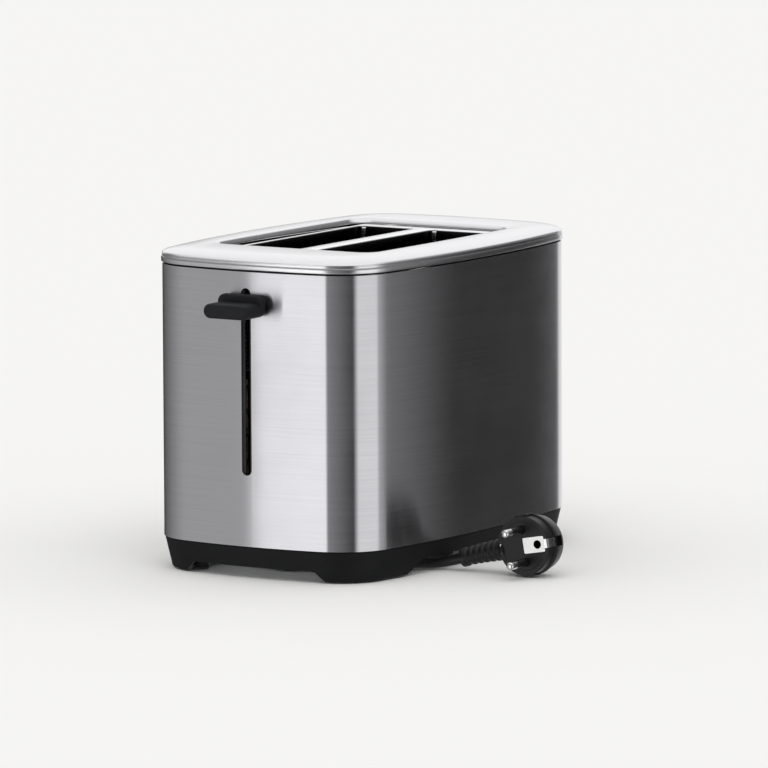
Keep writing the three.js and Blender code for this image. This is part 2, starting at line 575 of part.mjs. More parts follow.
// ---- Lever carriage ----
const { core, coil } = magnet();
const sliderBlock = slab(SLIDER.x, [SLIDER.front, BRACKET.front - GAP], SLIDER.z);
const rodBore = bar([ROD.x, ROD.y, 100], [ROD.x, ROD.y, 170], ROD.radius + ROD.clearance, 20);
const stem = slab([-LEVER.stemHalf, LEVER.stemHalf], [LEVER.stemFront, BRACKET.front - GAP],
  [LEVER.stemLow, LEVER.stemHigh]);
const armatureLow = MAGNET.high + LEVER.down + ARMATURE.gap;
add('carriage_bracket', carriageBracket(), 'galvanised');
add('carriage_slider', cut(sliderBlock, rodBore), 'whitePlastic');
add('lever_stem', stem, 'galvanised');
add('lever_knob', leverKnob(), 'knobPlastic');
add('armature_plate', slab(ARMATURE.x, ARMATURE.y, [armatureLow, ARMATURE.high]), 'galvanised');
add('guide_rod', bar([ROD.x, ROD.y, 20.9], [ROD.x, ROD.y, 177.3], ROD.radius, 16), 'plated');
add('carriage_spring', carriageSpring(), 'plated');
add('magnet_core', core, 'galvanised');
add('magnet_coil', coil, 'copper');

// ---- Controls ----
const panelFace = -BODY.width / 2 - GAP - CONTROLS.thick;
const buttonZ = (i) => BUTTON.firstZ + i * BUTTON.pitch;
const buttonShape = (i, grow) => roundedRectangle(
  BUTTON.halfLength + grow, BUTTON.halfHeight + grow, BUTTON.halfHeight + grow, 0, buttonZ(i));

function controlPanel() {
  const plate = prismAlongX(roundedRectangle(CONTROLS.halfY, CONTROLS.halfZ, 20, 0, CONTROLS.z),
    panelFace, panelFace + CONTROLS.thick);
  const holes = BUTTON.names.map((_, i) => prismAlongX(buttonShape(i, 0.4), panelFace - 1, panelFace + 4));
  return cut(plate, ...holes, bar([-100, 0, CONTROLS.dialZ], [-70, 0, CONTROLS.dialZ], 4.6, 20));
}

// Browning dial: a tapered disc with a grip bar across it, on a shaft that ends in the potentiometer.
function browningDial() {
  const back = panelFace - GAP;
  const z = CONTROLS.dialZ;
  const disc = bar([back, 0, z], [back - 6, 0, z], CONTROLS.dialRadius, 32, CONTROLS.dialRadius - 0.8);
  const grip = slab([back - CONTROLS.dialDepth, back - 5], [-2.6, 2.6], [z - 14, z + 14]);
  return join(disc, grip, bar([back - 1, 0, z], [-76.6, 0, z], 3, 16));
}

function pushButton(i) {
  const cap = prismAlongX(buttonShape(i, 0), panelFace - BUTTON.proud, panelFace + 4);
  return join(cap, bar([panelFace + 3, 0, buttonZ(i)], [-75.4, 0, buttonZ(i)], 2, 10));
}

add('control_panel', controlPanel(), 'blackPlastic');
add('browning_dial', browningDial(), 'knobPlastic');
BUTTON.names.forEach((name, i) => add(`${name}_button`, pushButton(i), 'knobPlastic'));
add('control_board', slab([BOARD.face, BOARD.face + BOARD.thick], [-BOARD.halfY, BOARD.halfY],
  [BOARD.low, BOARD.high]), 'circuitBoard');
add('potentiometer', slab([-76.3, BOARD.face - GAP], [-BOARD.dialPart, BOARD.dialPart],
  [CONTROLS.dialZ - BOARD.dialPart, CONTROLS.dialZ + BOARD.dialPart]), 'whitePlastic');
add('mains_block', slab(MAINS_BLOCK.x, MAINS_BLOCK.y, MAINS_BLOCK.z), 'whitePlastic');

// ---- Mains lead ----
const radius = CORD.diameter / 2;
const laneInner = CORD.lane - radius - 0.2;
const laneOuter = CORD.lane + CORD.pitch * 1.87 + radius + 0.2;

function cordGland() {
  const { back, mouth, radius: size } = GLAND;
  const boot = bar([CORD.lane, back, CORD.z], [CORD.lane, mouth, CORD.z], size + 0.2, 16, size);
  return join(boot, slab([CORD.lane - 3, CORD.lane + 3], [back, back + 8], [CORD.z, BOBBIN.high]));
}

function cordWinding() {
  const turns = cut(prism(racetrack(laneOuter), CORD.z - radius, CORD.z + radius),
    prism(racetrack(laneInner), 0, 20),
    slab([CORD.lane - 5, CORD.lane + GLAND.radius + 0.6], [GLAND.back - GAP, GLAND.mouth + GAP], [0, 20]));
  return join(turns, bar(LEAD_OUT.from, LEAD_OUT.to, radius, 10));
}

add('cord_gland', cordGland(), 'blackPlastic');
add('cord_winding', cordWinding(), 'cable');
add('cord_lead', tube(LEAD_ROUTE, radius, 6), 'cable');
add('plug_strain_relief', tube(RELIEF_ROUTE, RELIEF_RADIUS, 4), 'cable');

// Two-pin plug, lying on its rim, with side notches for the earth contacts.
const plug = new THREE.Group();
plug.position.set(PLUG.x, PLUG.face, PLUG.z);
plug.rotation.y = -THREE.MathUtils.degToRad(PLUG.tilt);
inPlace.add(plug);

function plugBody() {
  const { depth, radius: rim, notch, earthX, earthRadius, pinRadius } = PLUG;
  const face = [[0, 0], [rim - 1, 0], [rim, 1]];
  const profile = [...face, [rim, 8], [rim - 2, depth - 1.6], [rim - 4, depth], [0, depth]];
  const body = new THREE.LatheGeometry(profile.map(([r, y]) => new THREE.Vector2(r, y)), 36);
  const notches = [-1, 1].map((side) => {
    const across = [side * (rim - notch), side * (rim + 1)].sort((a, b) => a - b);
    return slab(across, [-1, 10], [-notch, notch]);
  });
  const pinHoles = [-1, 1].map((side) => {
    const z = (side * PLUG.pinSpan) / 2;
    return bar([0, -1, z], [0, 8.3, z], pinRadius + GAP, 14);
  });
  const earthHole = bar([earthX, -1, 0], [earthX, 10, 0], earthRadius, 14);
  return cut(body, ...notches, ...pinHoles, earthHole);
}

function plugPin(side) {
  const z = (side * PLUG.pinSpan) / 2;
  const shank = bar([0, 8, z], [0, -PLUG.pinLength + 1.2, z], PLUG.pinRadius, 14);
  const tip = bar([0, -PLUG.pinLength + 1.4, z], [0, -PLUG.pinLength, z], PLUG.pinRadius, 14, 1.5);
  return join(shank, tip);
}

add('plug_body', plugBody(), 'cable', plug);
add('plug_pin_upper', plugPin(1), 'plated', plug);
add('plug_pin_lower', plugPin(-1), 'plated', plug);

export default toaster;
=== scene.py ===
"""The looks of a two-slot pop-up toaster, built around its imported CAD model."""

import json
import math

import bmesh
import bpy
from mathutils import Matrix, Vector
from mathutils.geometry import tessellate_polygon


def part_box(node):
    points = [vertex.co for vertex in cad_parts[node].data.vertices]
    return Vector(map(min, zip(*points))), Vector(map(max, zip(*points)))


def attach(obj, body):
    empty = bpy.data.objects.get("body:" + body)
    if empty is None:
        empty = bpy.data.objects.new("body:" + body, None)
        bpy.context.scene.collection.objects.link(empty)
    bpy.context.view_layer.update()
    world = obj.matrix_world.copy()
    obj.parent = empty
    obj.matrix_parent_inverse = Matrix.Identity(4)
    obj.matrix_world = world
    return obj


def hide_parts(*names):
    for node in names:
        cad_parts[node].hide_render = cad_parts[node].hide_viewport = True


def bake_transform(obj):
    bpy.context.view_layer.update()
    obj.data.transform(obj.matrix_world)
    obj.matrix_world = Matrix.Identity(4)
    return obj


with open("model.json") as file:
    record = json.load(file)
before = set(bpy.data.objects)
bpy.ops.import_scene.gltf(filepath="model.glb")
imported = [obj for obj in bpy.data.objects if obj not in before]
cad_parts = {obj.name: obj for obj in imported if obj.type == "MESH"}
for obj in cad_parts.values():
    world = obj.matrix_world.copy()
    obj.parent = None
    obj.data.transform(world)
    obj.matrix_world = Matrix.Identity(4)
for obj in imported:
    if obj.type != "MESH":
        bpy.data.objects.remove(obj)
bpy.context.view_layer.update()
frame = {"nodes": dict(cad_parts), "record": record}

# ---- Sizes, in millimetres from the middle of the body, on the floor ----
MM = 0.001
BODY_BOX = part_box("outer_shell")
ORIGIN = Vector(((BODY_BOX[0].x + BODY_BOX[1].x) / 2, (BODY_BOX[0].y + BODY_BOX[1].y) / 2, 0))
BODY = {"half_x": 83, "half_y": 129.25, "side": 661, "end": 298, "corner": 34.7}
SHELL = {"low": 19.4, "high": 180.6, "sheet": 1}
LEVER_SLOT = {"half": 3.4, "low": 61.2, "high": 171.1}
COVER = {"low": 181.8, "crown": 190.2, "nose_low": 186.5, "nose_reach": 20, "floor": 187, "proud": 0.7}
OPENING = {"x": 56, "y": 81, "rim_x": 55.2, "rim_y": 80.2, "radius": 11}
DECK = {"half_x": 46.5, "half_y": 75, "top": 187.4, "low": 184.5, "sleeve_low": 178.1}
BREAD = {"inner": 6, "outer": 44, "half_y": 67, "corner": 3.2}
BASE = {"low": 1, "taper": 8.4, "post_high": 10.9, "shoulder": 16.6, "top": 19.1, "wall": 2.6}
ARCHES = {"front": (42, 48, 6.9), "side": (59.5, 72.2, 9.9)}
KNOB = {"step": -136.5, "step_high": 163.6, "corner": 4.6}
PANEL = {"z": 100, "half_u": 23, "half_v": 54, "radius": 20, "thick": 2.4}
DIAL = {"z": 74, "radius": 16, "disc": 6, "depth": 11}
BUTTONS = {"stop_button": 106, "defrost_button": 121, "reheat_button": 136}
CORD = {"radius": 3.2, "lane": 39.6, "growth": 3.35, "straight": 35, "z": 7.25}
PLUG = {"at": (135.2, -42, 18.7), "tilt": -10, "rim": 18.4, "depth": 20, "pin_offset": 9.5}
PLUG_PIN = {"radius": 2.4, "length": 19, "sleeve": 12.6}
EARTH_PLATE = {"middle": 7.1, "half_width": 7.2, "half_height": 4.7}


def at(x, y, z):
    """A place given in millimetres from the body's middle, as metres in the row frame."""
    return ORIGIN + Vector((x, y, z)) * MM


def node_box(name):
    """The two corners of a CAD node's box, in millimetres from the body's middle."""
    low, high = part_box(name)
    return (low - ORIGIN) / MM, (high - ORIGIN) / MM


# ---- Shapes ----
def arc(x, y, radius, start, end, steps):
    """Points along an arc, without its last one."""
    angles = [start + (end - start) * i / steps for i in range(steps)]
    return [(x + radius * math.cos(a), y + radius * math.sin(a)) for a in angles]


def outline(half_x, half_y, side, end, corner, steps=(24, 18, 14)):
    """A closed outline of eight tangent arcs: two sides, two ends and four corners."""
    side_centre = half_x - side
    end_centre = half_y - end
    to_side = side - corner
    to_end = end - corner
    apart = math.hypot(side_centre, end_centre)
    along = (to_side**2 - to_end**2 + apart**2) / (2 * apart)
    across = math.sqrt(to_side**2 - along**2)
    line = (-side_centre / apart, end_centre / apart)
    x = side_centre + along * line[0] - across * line[1]
    y = along * line[1] + across * line[0]
    side_turn = math.atan2(y, x - side_centre)
    end_turn = math.atan2(y - end_centre, x)
    quarter = arc(side_centre, 0, side, 0, side_turn, steps[0])
    quarter += arc(x, y, corner, side_turn, end_turn, steps[1])
    quarter += arc(0, end_centre, end, end_turn, math.pi / 2, steps[2])
    half = quarter + [(0, half_y)] + [(-px, py) for px, py in reversed(quarter[1:])]
    return half + [(-half_x, 0)] + [(px, -py) for px, py in reversed(half[1:])]


def body_outline(inset):
    """The body's outline, moved inwards."""
    return outline(
        BODY["half_x"] - inset,
        BODY["half_y"] - inset,
        BODY["side"] - inset,
        BODY["end"] - inset,
        BODY["corner"] - inset,
    )


def opening_outline(half_x, half_y):
    """The cover's bread opening: nearly straight sides and small corners."""
    return outline(half_x, half_y, 3000, 2000, OPENING["radius"])


def rounded(half_u, half_v, radius, u=0.0, v=0.0, steps=8):
    """A rectangle with round corners; a radius of half the height makes a stadium."""
    points = []
    for turn, (side_u, side_v) in enumerate(((1, 1), (-1, 1), (-1, -1), (1, -1))):
        middle = (u + side_u * (half_u - radius), v + side_v * (half_v - radius))
        for i in range(steps + 1):
            angle = math.radians(90) * (turn + i / steps)
            points.append((middle[0] + radius * math.cos(angle), middle[1] + radius * math.sin(angle)))
    return points


def circle(radius, sides, u=0.0, v=0.0):
    """Points round a circle."""
    return arc(u, v, radius, 0, 2 * math.pi, sides)


def lifted(points, z):
    """A flat outline at a height."""
    return [(x, y, z) for x, y in points]


def quarter_round(steps):
    """Pairs that go from (0, 0) to (1, 1) along a quarter of a circle, rising first."""
    turns = [math.radians(90) * i / steps for i in range(steps + 1)]
    return [(1 - math.cos(t), math.sin(t)) for t in turns]


def new_object(name, data):
    """An object in the scene that holds some data."""
    made = bpy.data.objects.new(name, data)
    bpy.context.scene.collection.objects.link(made)
    return made


# Frames whose local w axis points to the lever's end, to the far end and to the cord's side.
TO_FRONT = Matrix(((1, 0, 0, 0), (0, 0, -1, 0), (0, 1, 0, 0), (0, 0, 0, 1)))
TO_BACK = Matrix(((1, 0, 0, 0), (0, 0, 1, 0), (0, -1, 0, 0), (0, 0, 0, 1)))
TO_CORD_SIDE = Matrix(((0, 0, 1, 0), (1, 0, 0, 0), (0, 1, 0, 0), (0, 0, 0, 1)))


class Skin:
    """Gathers rings of points in millimetres and skins them into one mesh."""

    def __init__(self, place=None):
        self.points = []
        self.faces = []
        self.place = place or Matrix.Identity(4)

    def ring(self, points):
        first = len(self.points)
        self.points += [Vector(p) for p in points]
        return list(range(first, len(self.points)))

    def band(self, lower, upper, closed=True):
        count = len(lower)
        for i in range(count if closed else count - 1):
            j = (i + 1) % count
            self.faces.append((lower[i], lower[j], upper[j], upper[i]))

    def loft(self, rings, wrap=False, cap=False, closed=True):
        placed = [self.ring(points) for points in rings]
        for lower, upper in zip(placed, placed[1:]):
            self.band(lower, upper, closed)
        if wrap:
            self.band(placed[-1], placed[0], closed)
        if cap:
            self.faces.append(tuple(reversed(placed[0])))
            self.faces.append(tuple(placed[-1]))
        return placed

    def sheet(self, loop, holes):
        loops = [loop, *holes]
        joined = [i for part in loops for i in part]
        for corner in tessellate_polygon([[self.points[i] for i in part] for part in loops]):
            self.faces.append(tuple(joined[i] for i in corner))

    def lathe(self, profile, sides=32):
        """Turns (radius, height) pairs round the local w axis."""
        self.loft([lifted(circle(radius, sides), height) for radius, height in profile])

    def build(self, name):
        mesh = bpy.data.meshes.new(name)
        placed = [at(*(self.place @ point)) for point in self.points]
        mesh.from_pydata(placed, [], self.faces)
        work = bmesh.new()
        work.from_mesh(mesh)
        bmesh.ops.remove_doubles(work, verts=work.verts, dist=2e-6)
        bmesh.ops.dissolve_degenerate(work, edges=work.edges, dist=1e-6)
        bmesh.ops.recalc_face_normals(work, faces=work.faces)
        work.to_mesh(mesh)
        work.free()
        return new_object(name, mesh)


def prism(name, points, low, high, place=None):
    """An outline raised between two heights."""
    skin = Skin(place)
    skin.loft([lifted(points, low), lifted(points, high)], cap=True)
    return skin.build(name)


def block(name, low, high):
    """A box between two corners, for cutting."""
    corners = [(low[0], low[1]), (high[0], low[1]), (high[0], high[1]), (low[0], high[1])]
    return prism(name, corners, low[2], high[2])


def settled(piece):
    """Applies a piece's modifiers to its mesh."""
    bpy.context.view_layer.update()
    graph = bpy.context.evaluated_depsgraph_get()
    mesh = bpy.data.meshes.new_from_object(piece.evaluated_get(graph))
    piece.modifiers.clear()
    piece.data = mesh
    return piece


def combined(piece, tools, operation="DIFFERENCE"):
    """Cuts the tools out of a piece, or adds them to it."""
    for tool in tools:
        step = piece.modifiers.new("step", "BOOLEAN")
        step.object = tool
        step.operation = operation
        step.solver = "EXACT"
    settled(piece)
    for tool in tools:
        bpy.data.objects.remove(tool)
    return piece


def eased(piece, width, steps=2, angle=35):
    """Rounds a piece's sharp edges by a width in millimetres."""
    bevel = piece.modifiers.new("edges", "BEVEL")
    bevel.width = width * MM
    bevel.segments = steps
    bevel.limit_method = "ANGLE"
    bevel.angle_limit = math.radians(angle)
    bevel.harden_normals = True
    return piece


def dress(piece, slot, body, *replaced, look=None, smooth=35):
    """Gives a piece the material for its slot or look, smooth shading and the body that it rides on, and
    hides the CAD nodes it stands for.
    """
    piece.data.materials.clear()
    piece.data.materials.append(LOOKS[look or slot])
    if piece.type == "MESH":
        piece.data.shade_smooth()
        piece.data.set_sharp_from_angle(angle=math.radians(smooth))
    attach(piece, body)
    if replaced:
        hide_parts(*replaced)
    return piece


def wires(name, paths, radius):
    """Round wires along paths in millimetres, as one curve object."""
    curve = bpy.data.curves.new(name, "CURVE")
    curve.dimensions = "3D"
    curve.bevel_depth = radius * MM
    curve.bevel_resolution = 3
    curve.use_fill_caps = True
    for path in paths:
        line = curve.splines.new("POLY")
        line.points.add(len(path) - 1)
        for spot, point in zip(line.points, path):
            spot.co = (*at(*point), 1)
    return new_object(name, curve)


def smooth_line(points, steps=8):
    """A smooth line through a few points."""
    padded = [2 * Vector(points[0]) - Vector(points[1]), *map(Vector, points)]
    padded.append(2 * Vector(points[-1]) - Vector(points[-2]))
    line = []
    for a, b, c, d in zip(padded, padded[1:], padded[2:], padded[3:]):
        for i in range(steps):
            t = i / steps
            bend = 2 * b + (c - a) * t + (2 * a - 5 * b + 4 * c - d) * t * t
            line.append((bend + (3 * b - a - 3 * c + d) * t**3) / 2)
    return [*line, Vector(points[-1])]


# ---- Materials ----
class Nodes:
    """A short way to add shader nodes. An input is a number, a colour or another node's output."""

    def __init__(self, tree):
        self.tree = tree
        tree.nodes.clear()

    def add(self, kind, inputs=None, **settings):
        node = self.tree.nodes.new("ShaderNode" + kind)
        for name, value in settings.items():
            setattr(node, name, value)
        for key, value in (inputs or {}).items():
            if isinstance(value, bpy.types.NodeSocket):
                self.tree.links.new(value, node.inputs[key])
            else:
                node.inputs[key].default_value = value
        return node

    def math(self, operation, a, b=0.0):
        return self.add("Math", {0: a, 1: b}, operation=operation).outputs[0]

    def between(self, value, from_low, from_high, to_low=0.0, to_high=1.0):
        ends = {"From Min": from_low, "From Max": from_high, "To Min": to_low, "To Max": to_high}
        return self.add("MapRange", {"Value": value, **ends}).outputs[0]

    def mixed(self, share, first, second):
        node = self.add("Mix", {0: share, 6: first, 7: second}, data_type="RGBA")
        return node.outputs[2]

    def spread(self, noise, low, high):
        """Noise, which mostly lies between 0.3 and 0.7, spread over another range."""
        return self.between(noise, 0.3, 0.7, low, high)

    def toned(self, noise, dark, light):
        """A colour that follows noise from dark to light."""
        return self.mixed(self.between(noise, 0.35, 0.65), (*dark, 1), (*light, 1))

    def noise(self, scale, detail=3.0, stretch=(1, 1, 1)):
        """Noise in metres of the row frame, with so many features per metre along each axis."""
        where = self.add("TexCoord").outputs["Object"]
        size = tuple(scale * s for s in stretch)
        placed = self.add("Mapping", {"Vector": where, "Scale": size}).outputs[0]
        return self.add("TexNoise", {"Vector": placed, "Scale": 1.0, "Detail": detail}).outputs["Fac"]

    def flakes(self, scale, channel):
        """A random value for each crystal or flake, so many per metre."""
        where = self.add("TexCoord").outputs["Object"]
        cells = self.add("TexVoronoi", {"Vector": where, "Scale": scale}, feature="F1").outputs["Color"]
        return self.add("SeparateColor", {0: cells}).outputs[channel]

    def bumped(self, height, strength, distance):
        inputs = {"Height": height, "Strength": strength, "Distance": distance * MM}
        return self.add("Bump", inputs).outputs[0]


def grey(level):
    return (level, level, level, 1)


def material(name):
    made = bpy.data.materials.new(name)
    made.use_nodes = True
    return made, Nodes(made.node_tree)


def finished(made, kit, inputs):
    """Connects a principled shader and returns the material."""
    shader = kit.add("BsdfPrincipled", inputs)
    kit.add("OutputMaterial", {"Surface": shader.outputs[0]})
    return made


def brushed_shell():
    """Horizontally brushed stainless steel: highlights spread upwards and stay sharp sideways."""
    made, kit = material("brushed_shell")
    streaks = kit.noise(1400, 4, (0.006, 0.006, 1))
    fine = kit.noise(4200, 2, (0.004, 0.004, 1))
    cloud = kit.noise(26, 2)
    both = kit.math("ADD", kit.math("MULTIPLY", streaks, 0.6), kit.math("MULTIPLY", fine, 0.4))
    tone = kit.toned(both, (0.58, 0.575, 0.6), (0.64, 0.632, 0.655))
    rough = kit.math("ADD", kit.spread(both, 0.19, 0.22), kit.spread(cloud, -0.02, 0.02))
    around = kit.add("Tangent", direction_type="RADIAL", axis="Z").outputs[0]
    return finished(made, kit, {
        "Base Color": tone,
        "Metallic": 1.0,
        "Roughness": rough,
        "Anisotropic": 1.0,
        "Anisotropic Rotation": 0.25,
        "Tangent": around,
        "Normal": kit.bumped(both, 0.03, 0.05),
    })


def satin_cover():
    """Formed steel with a fine satin grain and a soft shine."""
    made, kit = material("satin_cover")
    grain = kit.noise(2600, 3, (0.05, 0.9, 1))
    cloud = kit.noise(18, 2)
    tone = kit.toned(grain, (0.7, 0.7, 0.72), (0.76, 0.76, 0.775))
    rough = kit.math("ADD", kit.spread(grain, 0.2, 0.25), kit.spread(cloud, -0.02, 0.03))
    return finished(made, kit, {
        "Base Color": tone,
        "Metallic": 1.0,
        "Roughness": rough,
        "Normal": kit.bumped(grain, 0.03, 0.03),
    })


def deck_steel():
    """The deck's polished steel; below its top, the slot walls and folded edge are painted near black as
    shade.
    """
    made, kit = material("deck")
    grain = kit.noise(2600, 3, (0.05, 0.9, 1))
    height = kit.add("SeparateXYZ", {0: kit.add("TexCoord").outputs["Object"]}).outputs["Z"]
    unshaded_top = kit.between(height, (DECK["top"] - 0.8) * MM, (DECK["top"] - 0.3) * MM)
    bright = kit.toned(grain, (0.78, 0.78, 0.79), (0.83, 0.83, 0.84))
    return finished(made, kit, {
        # Near black below the top: painted shade in the slots and in the trench round the deck.
        "Base Color": kit.mixed(unshaded_top, (0.012, 0.012, 0.013, 1), bright),
        "Metallic": 1.0,
        "Roughness": kit.spread(grain, 0.2, 0.26),
        "Normal": kit.bumped(grain, 0.03, 0.03),
    })


def speckled(name, dark, light, rough, scale, bump, sockets):
    """A moulded or cast surface: a fine grain that varies its colour, gloss and height a little."""
    made, kit = material(name)
    grain = kit.noise(scale, 3)
    cloud = kit.noise(scale / 40, 2)
    return finished(made, kit, {
        "Base Color": kit.mixed(kit.spread(cloud, 0, 1), (*dark, 1), (*light, 1)),
        "Roughness": kit.spread(grain, *rough),
        "Normal": kit.bumped(grain, *bump),
        **sockets,
    })


def galvanised():
    """Zinc-coated sheet: crystal flakes that differ in shade and gloss."""
    made, kit = material("galvanised")
    flake = kit.flakes(160.0, 0)
    grain = kit.noise(900, 3)
    tone = kit.mixed(flake, (0.46, 0.47, 0.48, 1), (0.6, 0.61, 0.62, 1))
    rough = kit.math("ADD", kit.between(flake, 0, 1, 0.34, 0.5), kit.spread(grain, -0.04, 0.04))
    return finished(made, kit, {
        "Base Color": tone,
        "Metallic": 1.0,
        "Roughness": rough,
        "Normal": kit.bumped(grain, 0.08, 0.05),
    })


def mica():
    """Pressed mica board: pale flakes in a straw-coloured binder."""
    made, kit = material("mica")
    flake = kit.flakes(420.0, 1)
    tone = kit.mixed(flake, (0.34, 0.27, 0.17, 1), (0.6, 0.53, 0.4, 1))
    return finished(made, kit, {
        "Base Color": tone,
        "Roughness": kit.between(flake, 0, 1, 0.35, 0.6),
        "Normal": kit.bumped(flake, 0.15, 0.1),
    })


def circuit_board():
    """Green solder mask with faint tracks under it."""
    made, kit = material("circuit_board")
    where = kit.add("TexCoord").outputs["Object"]
    tracks = kit.add("TexBrick", {"Vector": where, "Scale": 220.0, "Mortar Size": 0.08}).outputs["Fac"]
    tone = kit.mixed(tracks, (0.035, 0.12, 0.05, 1), (0.06, 0.2, 0.09, 1))
    return finished(made, kit, {
        "Base Color": tone,
        "Roughness": kit.spread(kit.noise(300), 0.25, 0.35),
        "Normal": kit.bumped(tracks, 0.2, 0.05),
    })


# Each has its darkest and lightest colour, roughness range, grains per metre, bump strength and depth, and
# other sockets.
METAL = {"Metallic": 1.0}
SPECKLED = {
    "wire": ((0.42, 0.41, 0.41), (0.58, 0.57, 0.56), (0.24, 0.36), 1500, (0.1, 0.04), METAL),
    "nichrome": ((0.2, 0.18, 0.17), (0.4, 0.36, 0.33), (0.35, 0.55), 1200, (0.2, 0.05), METAL),
    "copper": ((0.45, 0.2, 0.1), (0.62, 0.3, 0.16), (0.25, 0.4), 1500, (0.1, 0.05), METAL),
    "plated": ((0.7, 0.7, 0.69), (0.8, 0.8, 0.79), (0.14, 0.24), 1800, (0.04, 0.03), METAL),
    "black_plastic": (
        (0.0055, 0.0058, 0.0068), (0.008, 0.0083, 0.0096), (0.5, 0.62), 1500, (0.2, 0.05), {"IOR": 1.28}),
    "knob_plastic": (
        (0.010, 0.0105, 0.0128), (0.013, 0.0135, 0.016), (0.5, 0.62), 1900, (0.15, 0.04), {"IOR": 1.3}),
    "rubber": ((0.02, 0.02, 0.021), (0.035, 0.035, 0.036), (0.75, 0.9), 1300, (0.3, 0.08), {}),
    "cable": ((0.006, 0.006, 0.007), (0.01, 0.01, 0.0115), (0.34, 0.48), 1700, (0.15, 0.04), {"IOR": 1.42}),
    "white_plastic": ((0.6, 0.59, 0.54), (0.7, 0.69, 0.64), (0.4, 0.52), 1400, (0.1, 0.05), {}),
    "print": ((0.62, 0.62, 0.62), (0.7, 0.7, 0.7), (0.5, 0.6), 2000, (0.05, 0.02), {}),
}
LOOKS = {
    "brushed_shell": brushed_shell(),
    "satin_cover": satin_cover(),
    "deck": deck_steel(),
    "galvanised": galvanised(),
    "mica": mica(),
    "circuit_board": circuit_board(),
    **{name: speckled(name, *look) for name, look in SPECKLED.items()},
}


# ---- Camera ----
CAMERA = {"azimuth": 32.07, "elevation": 7.24, "roll": -0.255, "distance": 4.872, "lens": 383.7}
AIM = {"right": 0.01145, "up": 0.01329, "height": 0.08736}


def place_camera():
    """A long lens that looks at the lever's end and the cord's side from a little above."""
    turn = math.radians(CAMERA["azimuth"])
    rise = math.radians(CAMERA["elevation"])
    roll = math.radians(CAMERA["roll"])
    back = Vector((math.sin(turn) * math.cos(rise), -math.cos(turn) * math.cos(rise), math.sin(rise)))
    right = Vector((math.cos(turn), math.sin(turn), 0))
    up = back.cross(right)
    spot = ORIGIN + Vector((0, 0, AIM["height"])) + back * CAMERA["distance"]
    spot += right * AIM["right"] + up * AIM["up"]
    level = right * math.cos(roll) + up * math.sin(roll)
    upright = up * math.cos(roll) - right * math.sin(roll)
    data = bpy.data.cameras.new("camera")
    data.lens = CAMERA["lens"]
    data.sensor_width = 36
    data.clip_start = 0.1
    data.clip_end = 1000
    camera = new_object("camera", data)
    turned = Matrix((level, upright, back)).transposed().to_4x4()
    camera.matrix_world = Matrix.Translation(spot) @ turned
    bpy.context.scene.camera = camera


place_camera()

# ---- Mains lead ----
GLAND_MOUTH = (39.6, 10, 7.25)
LEAD_OUT = ((35.4, -72.8, 7.0), (45.5, -63.3, 5.85), (55.6, -53.8, 4.7))
LEAD_ROUTE = ((55.8, -53.6, 4.68), (65, -45.6, 3.9), (74, -39.9, 4.1), (82, -36.7, 5.55), (89.2, -35.2, 7.6))
RELIEF_ROUTE = ((90.1, -35.1, 7.83), (98.6, -34.7, 10.2), (107.2, -34.5, 12.4), (115.7, -34.5, 14.4))
HALF_TURN_STEPS = 26


def half_turn(centre_y, start, end, radius, grown):
    """Part of a turn round one end of the cord store, whose radius grows as it goes."""
    points = []
    for i in range(HALF_TURN_STEPS + 1):
        share = i / HALF_TURN_STEPS
        angle = math.radians(start + (end - start) * share)
        reach = radius + (grown - radius) * share
        points.append((reach * math.cos(angle), centre_y + reach * math.sin(angle), CORD["z"]))
    return points


def wound_path():
    """The lead from its gland, round the cord store and out to the plug."""
    lane, growth, straight = CORD["lane"], CORD["growth"], CORD["straight"]
    leaving = math.hypot(LEAD_OUT[0][0], LEAD_OUT[0][1] + straight)
    leaving_angle = 360 + math.degrees(math.atan2(LEAD_OUT[0][1] + straight, LEAD_OUT[0][0]))
    path = [GLAND_MOUTH, (lane, 22, CORD["z"])]
    path += half_turn(straight, 0, 180, lane, lane + growth)
    path += half_turn(-straight, 180, 360, lane + growth, lane + 2 * growth)
    path += half_turn(straight, 0, 180, lane + 2 * growth, lane + 3 * growth)
    path += half_turn(-straight, 180, leaving_angle, lane + 3 * growth, leaving)
    path += smooth_line([*LEAD_OUT, *LEAD_ROUTE[1:], RELIEF_ROUTE[0]])[1:]
    return path


def path_length(path):
    return sum((Vector(b) - Vector(a)).length for a, b in zip(path, path[1:])) * MM


def mains_lead():
    path = wound_path()
    lead = wires("mains_lead", [path], CORD["radius"])
    lead.data.bevel_resolution = 5
    dress(lead, "cable", "housing", "cord_winding", "cord_lead")
    return lead, path_length(path)


def relief_radius(share):
    """The strain relief's radius along its length: a collar, six ribs, then a swelling neck."""
    if share < 0.09:
        return 5.75
    if share > 0.86:
        return 7.2 + 1.2 * (share - 0.86) / 0.14
    swell = 5.3 + 1.7 * share
    wave = math.cos((share - 0.09) * 2 * math.pi * 6.5 / 0.77)
    return swell - 0.75 * (0.5 - 0.5 * max(-1.0, min(1.0, 2.2 * wave)))


def strain_relief():
    """A ribbed, tapered sleeve along its route, round the lead and into the plug."""
    line = smooth_line([*RELIEF_ROUTE, (121.5, -34.4, 15.7)], 30)
    skin = Skin()
    rings = []
    for i, point in enumerate(line):
        ahead = line[min(i + 1, len(line) - 1)] - line[max(i - 1, 0)]
        turn = ahead.to_track_quat("Z", "Y").to_matrix()
        radius = relief_radius(i / (len(line) - 1))
        rings.append([point + turn @ Vector((x, y, 0)) for x, y in circle(radius, 32)])
    skin.loft(rings, cap=True)
    return dress(skin.build("plug_relief_sleeve"), "cable", "housing", "plug_strain_relief", smooth=60)


PLUG_PLACE = (
    Matrix.Translation(Vector(PLUG["at"]))
    @ Matrix.Rotation(math.radians(PLUG["tilt"]), 4, "Y")
    @ TO_BACK
)


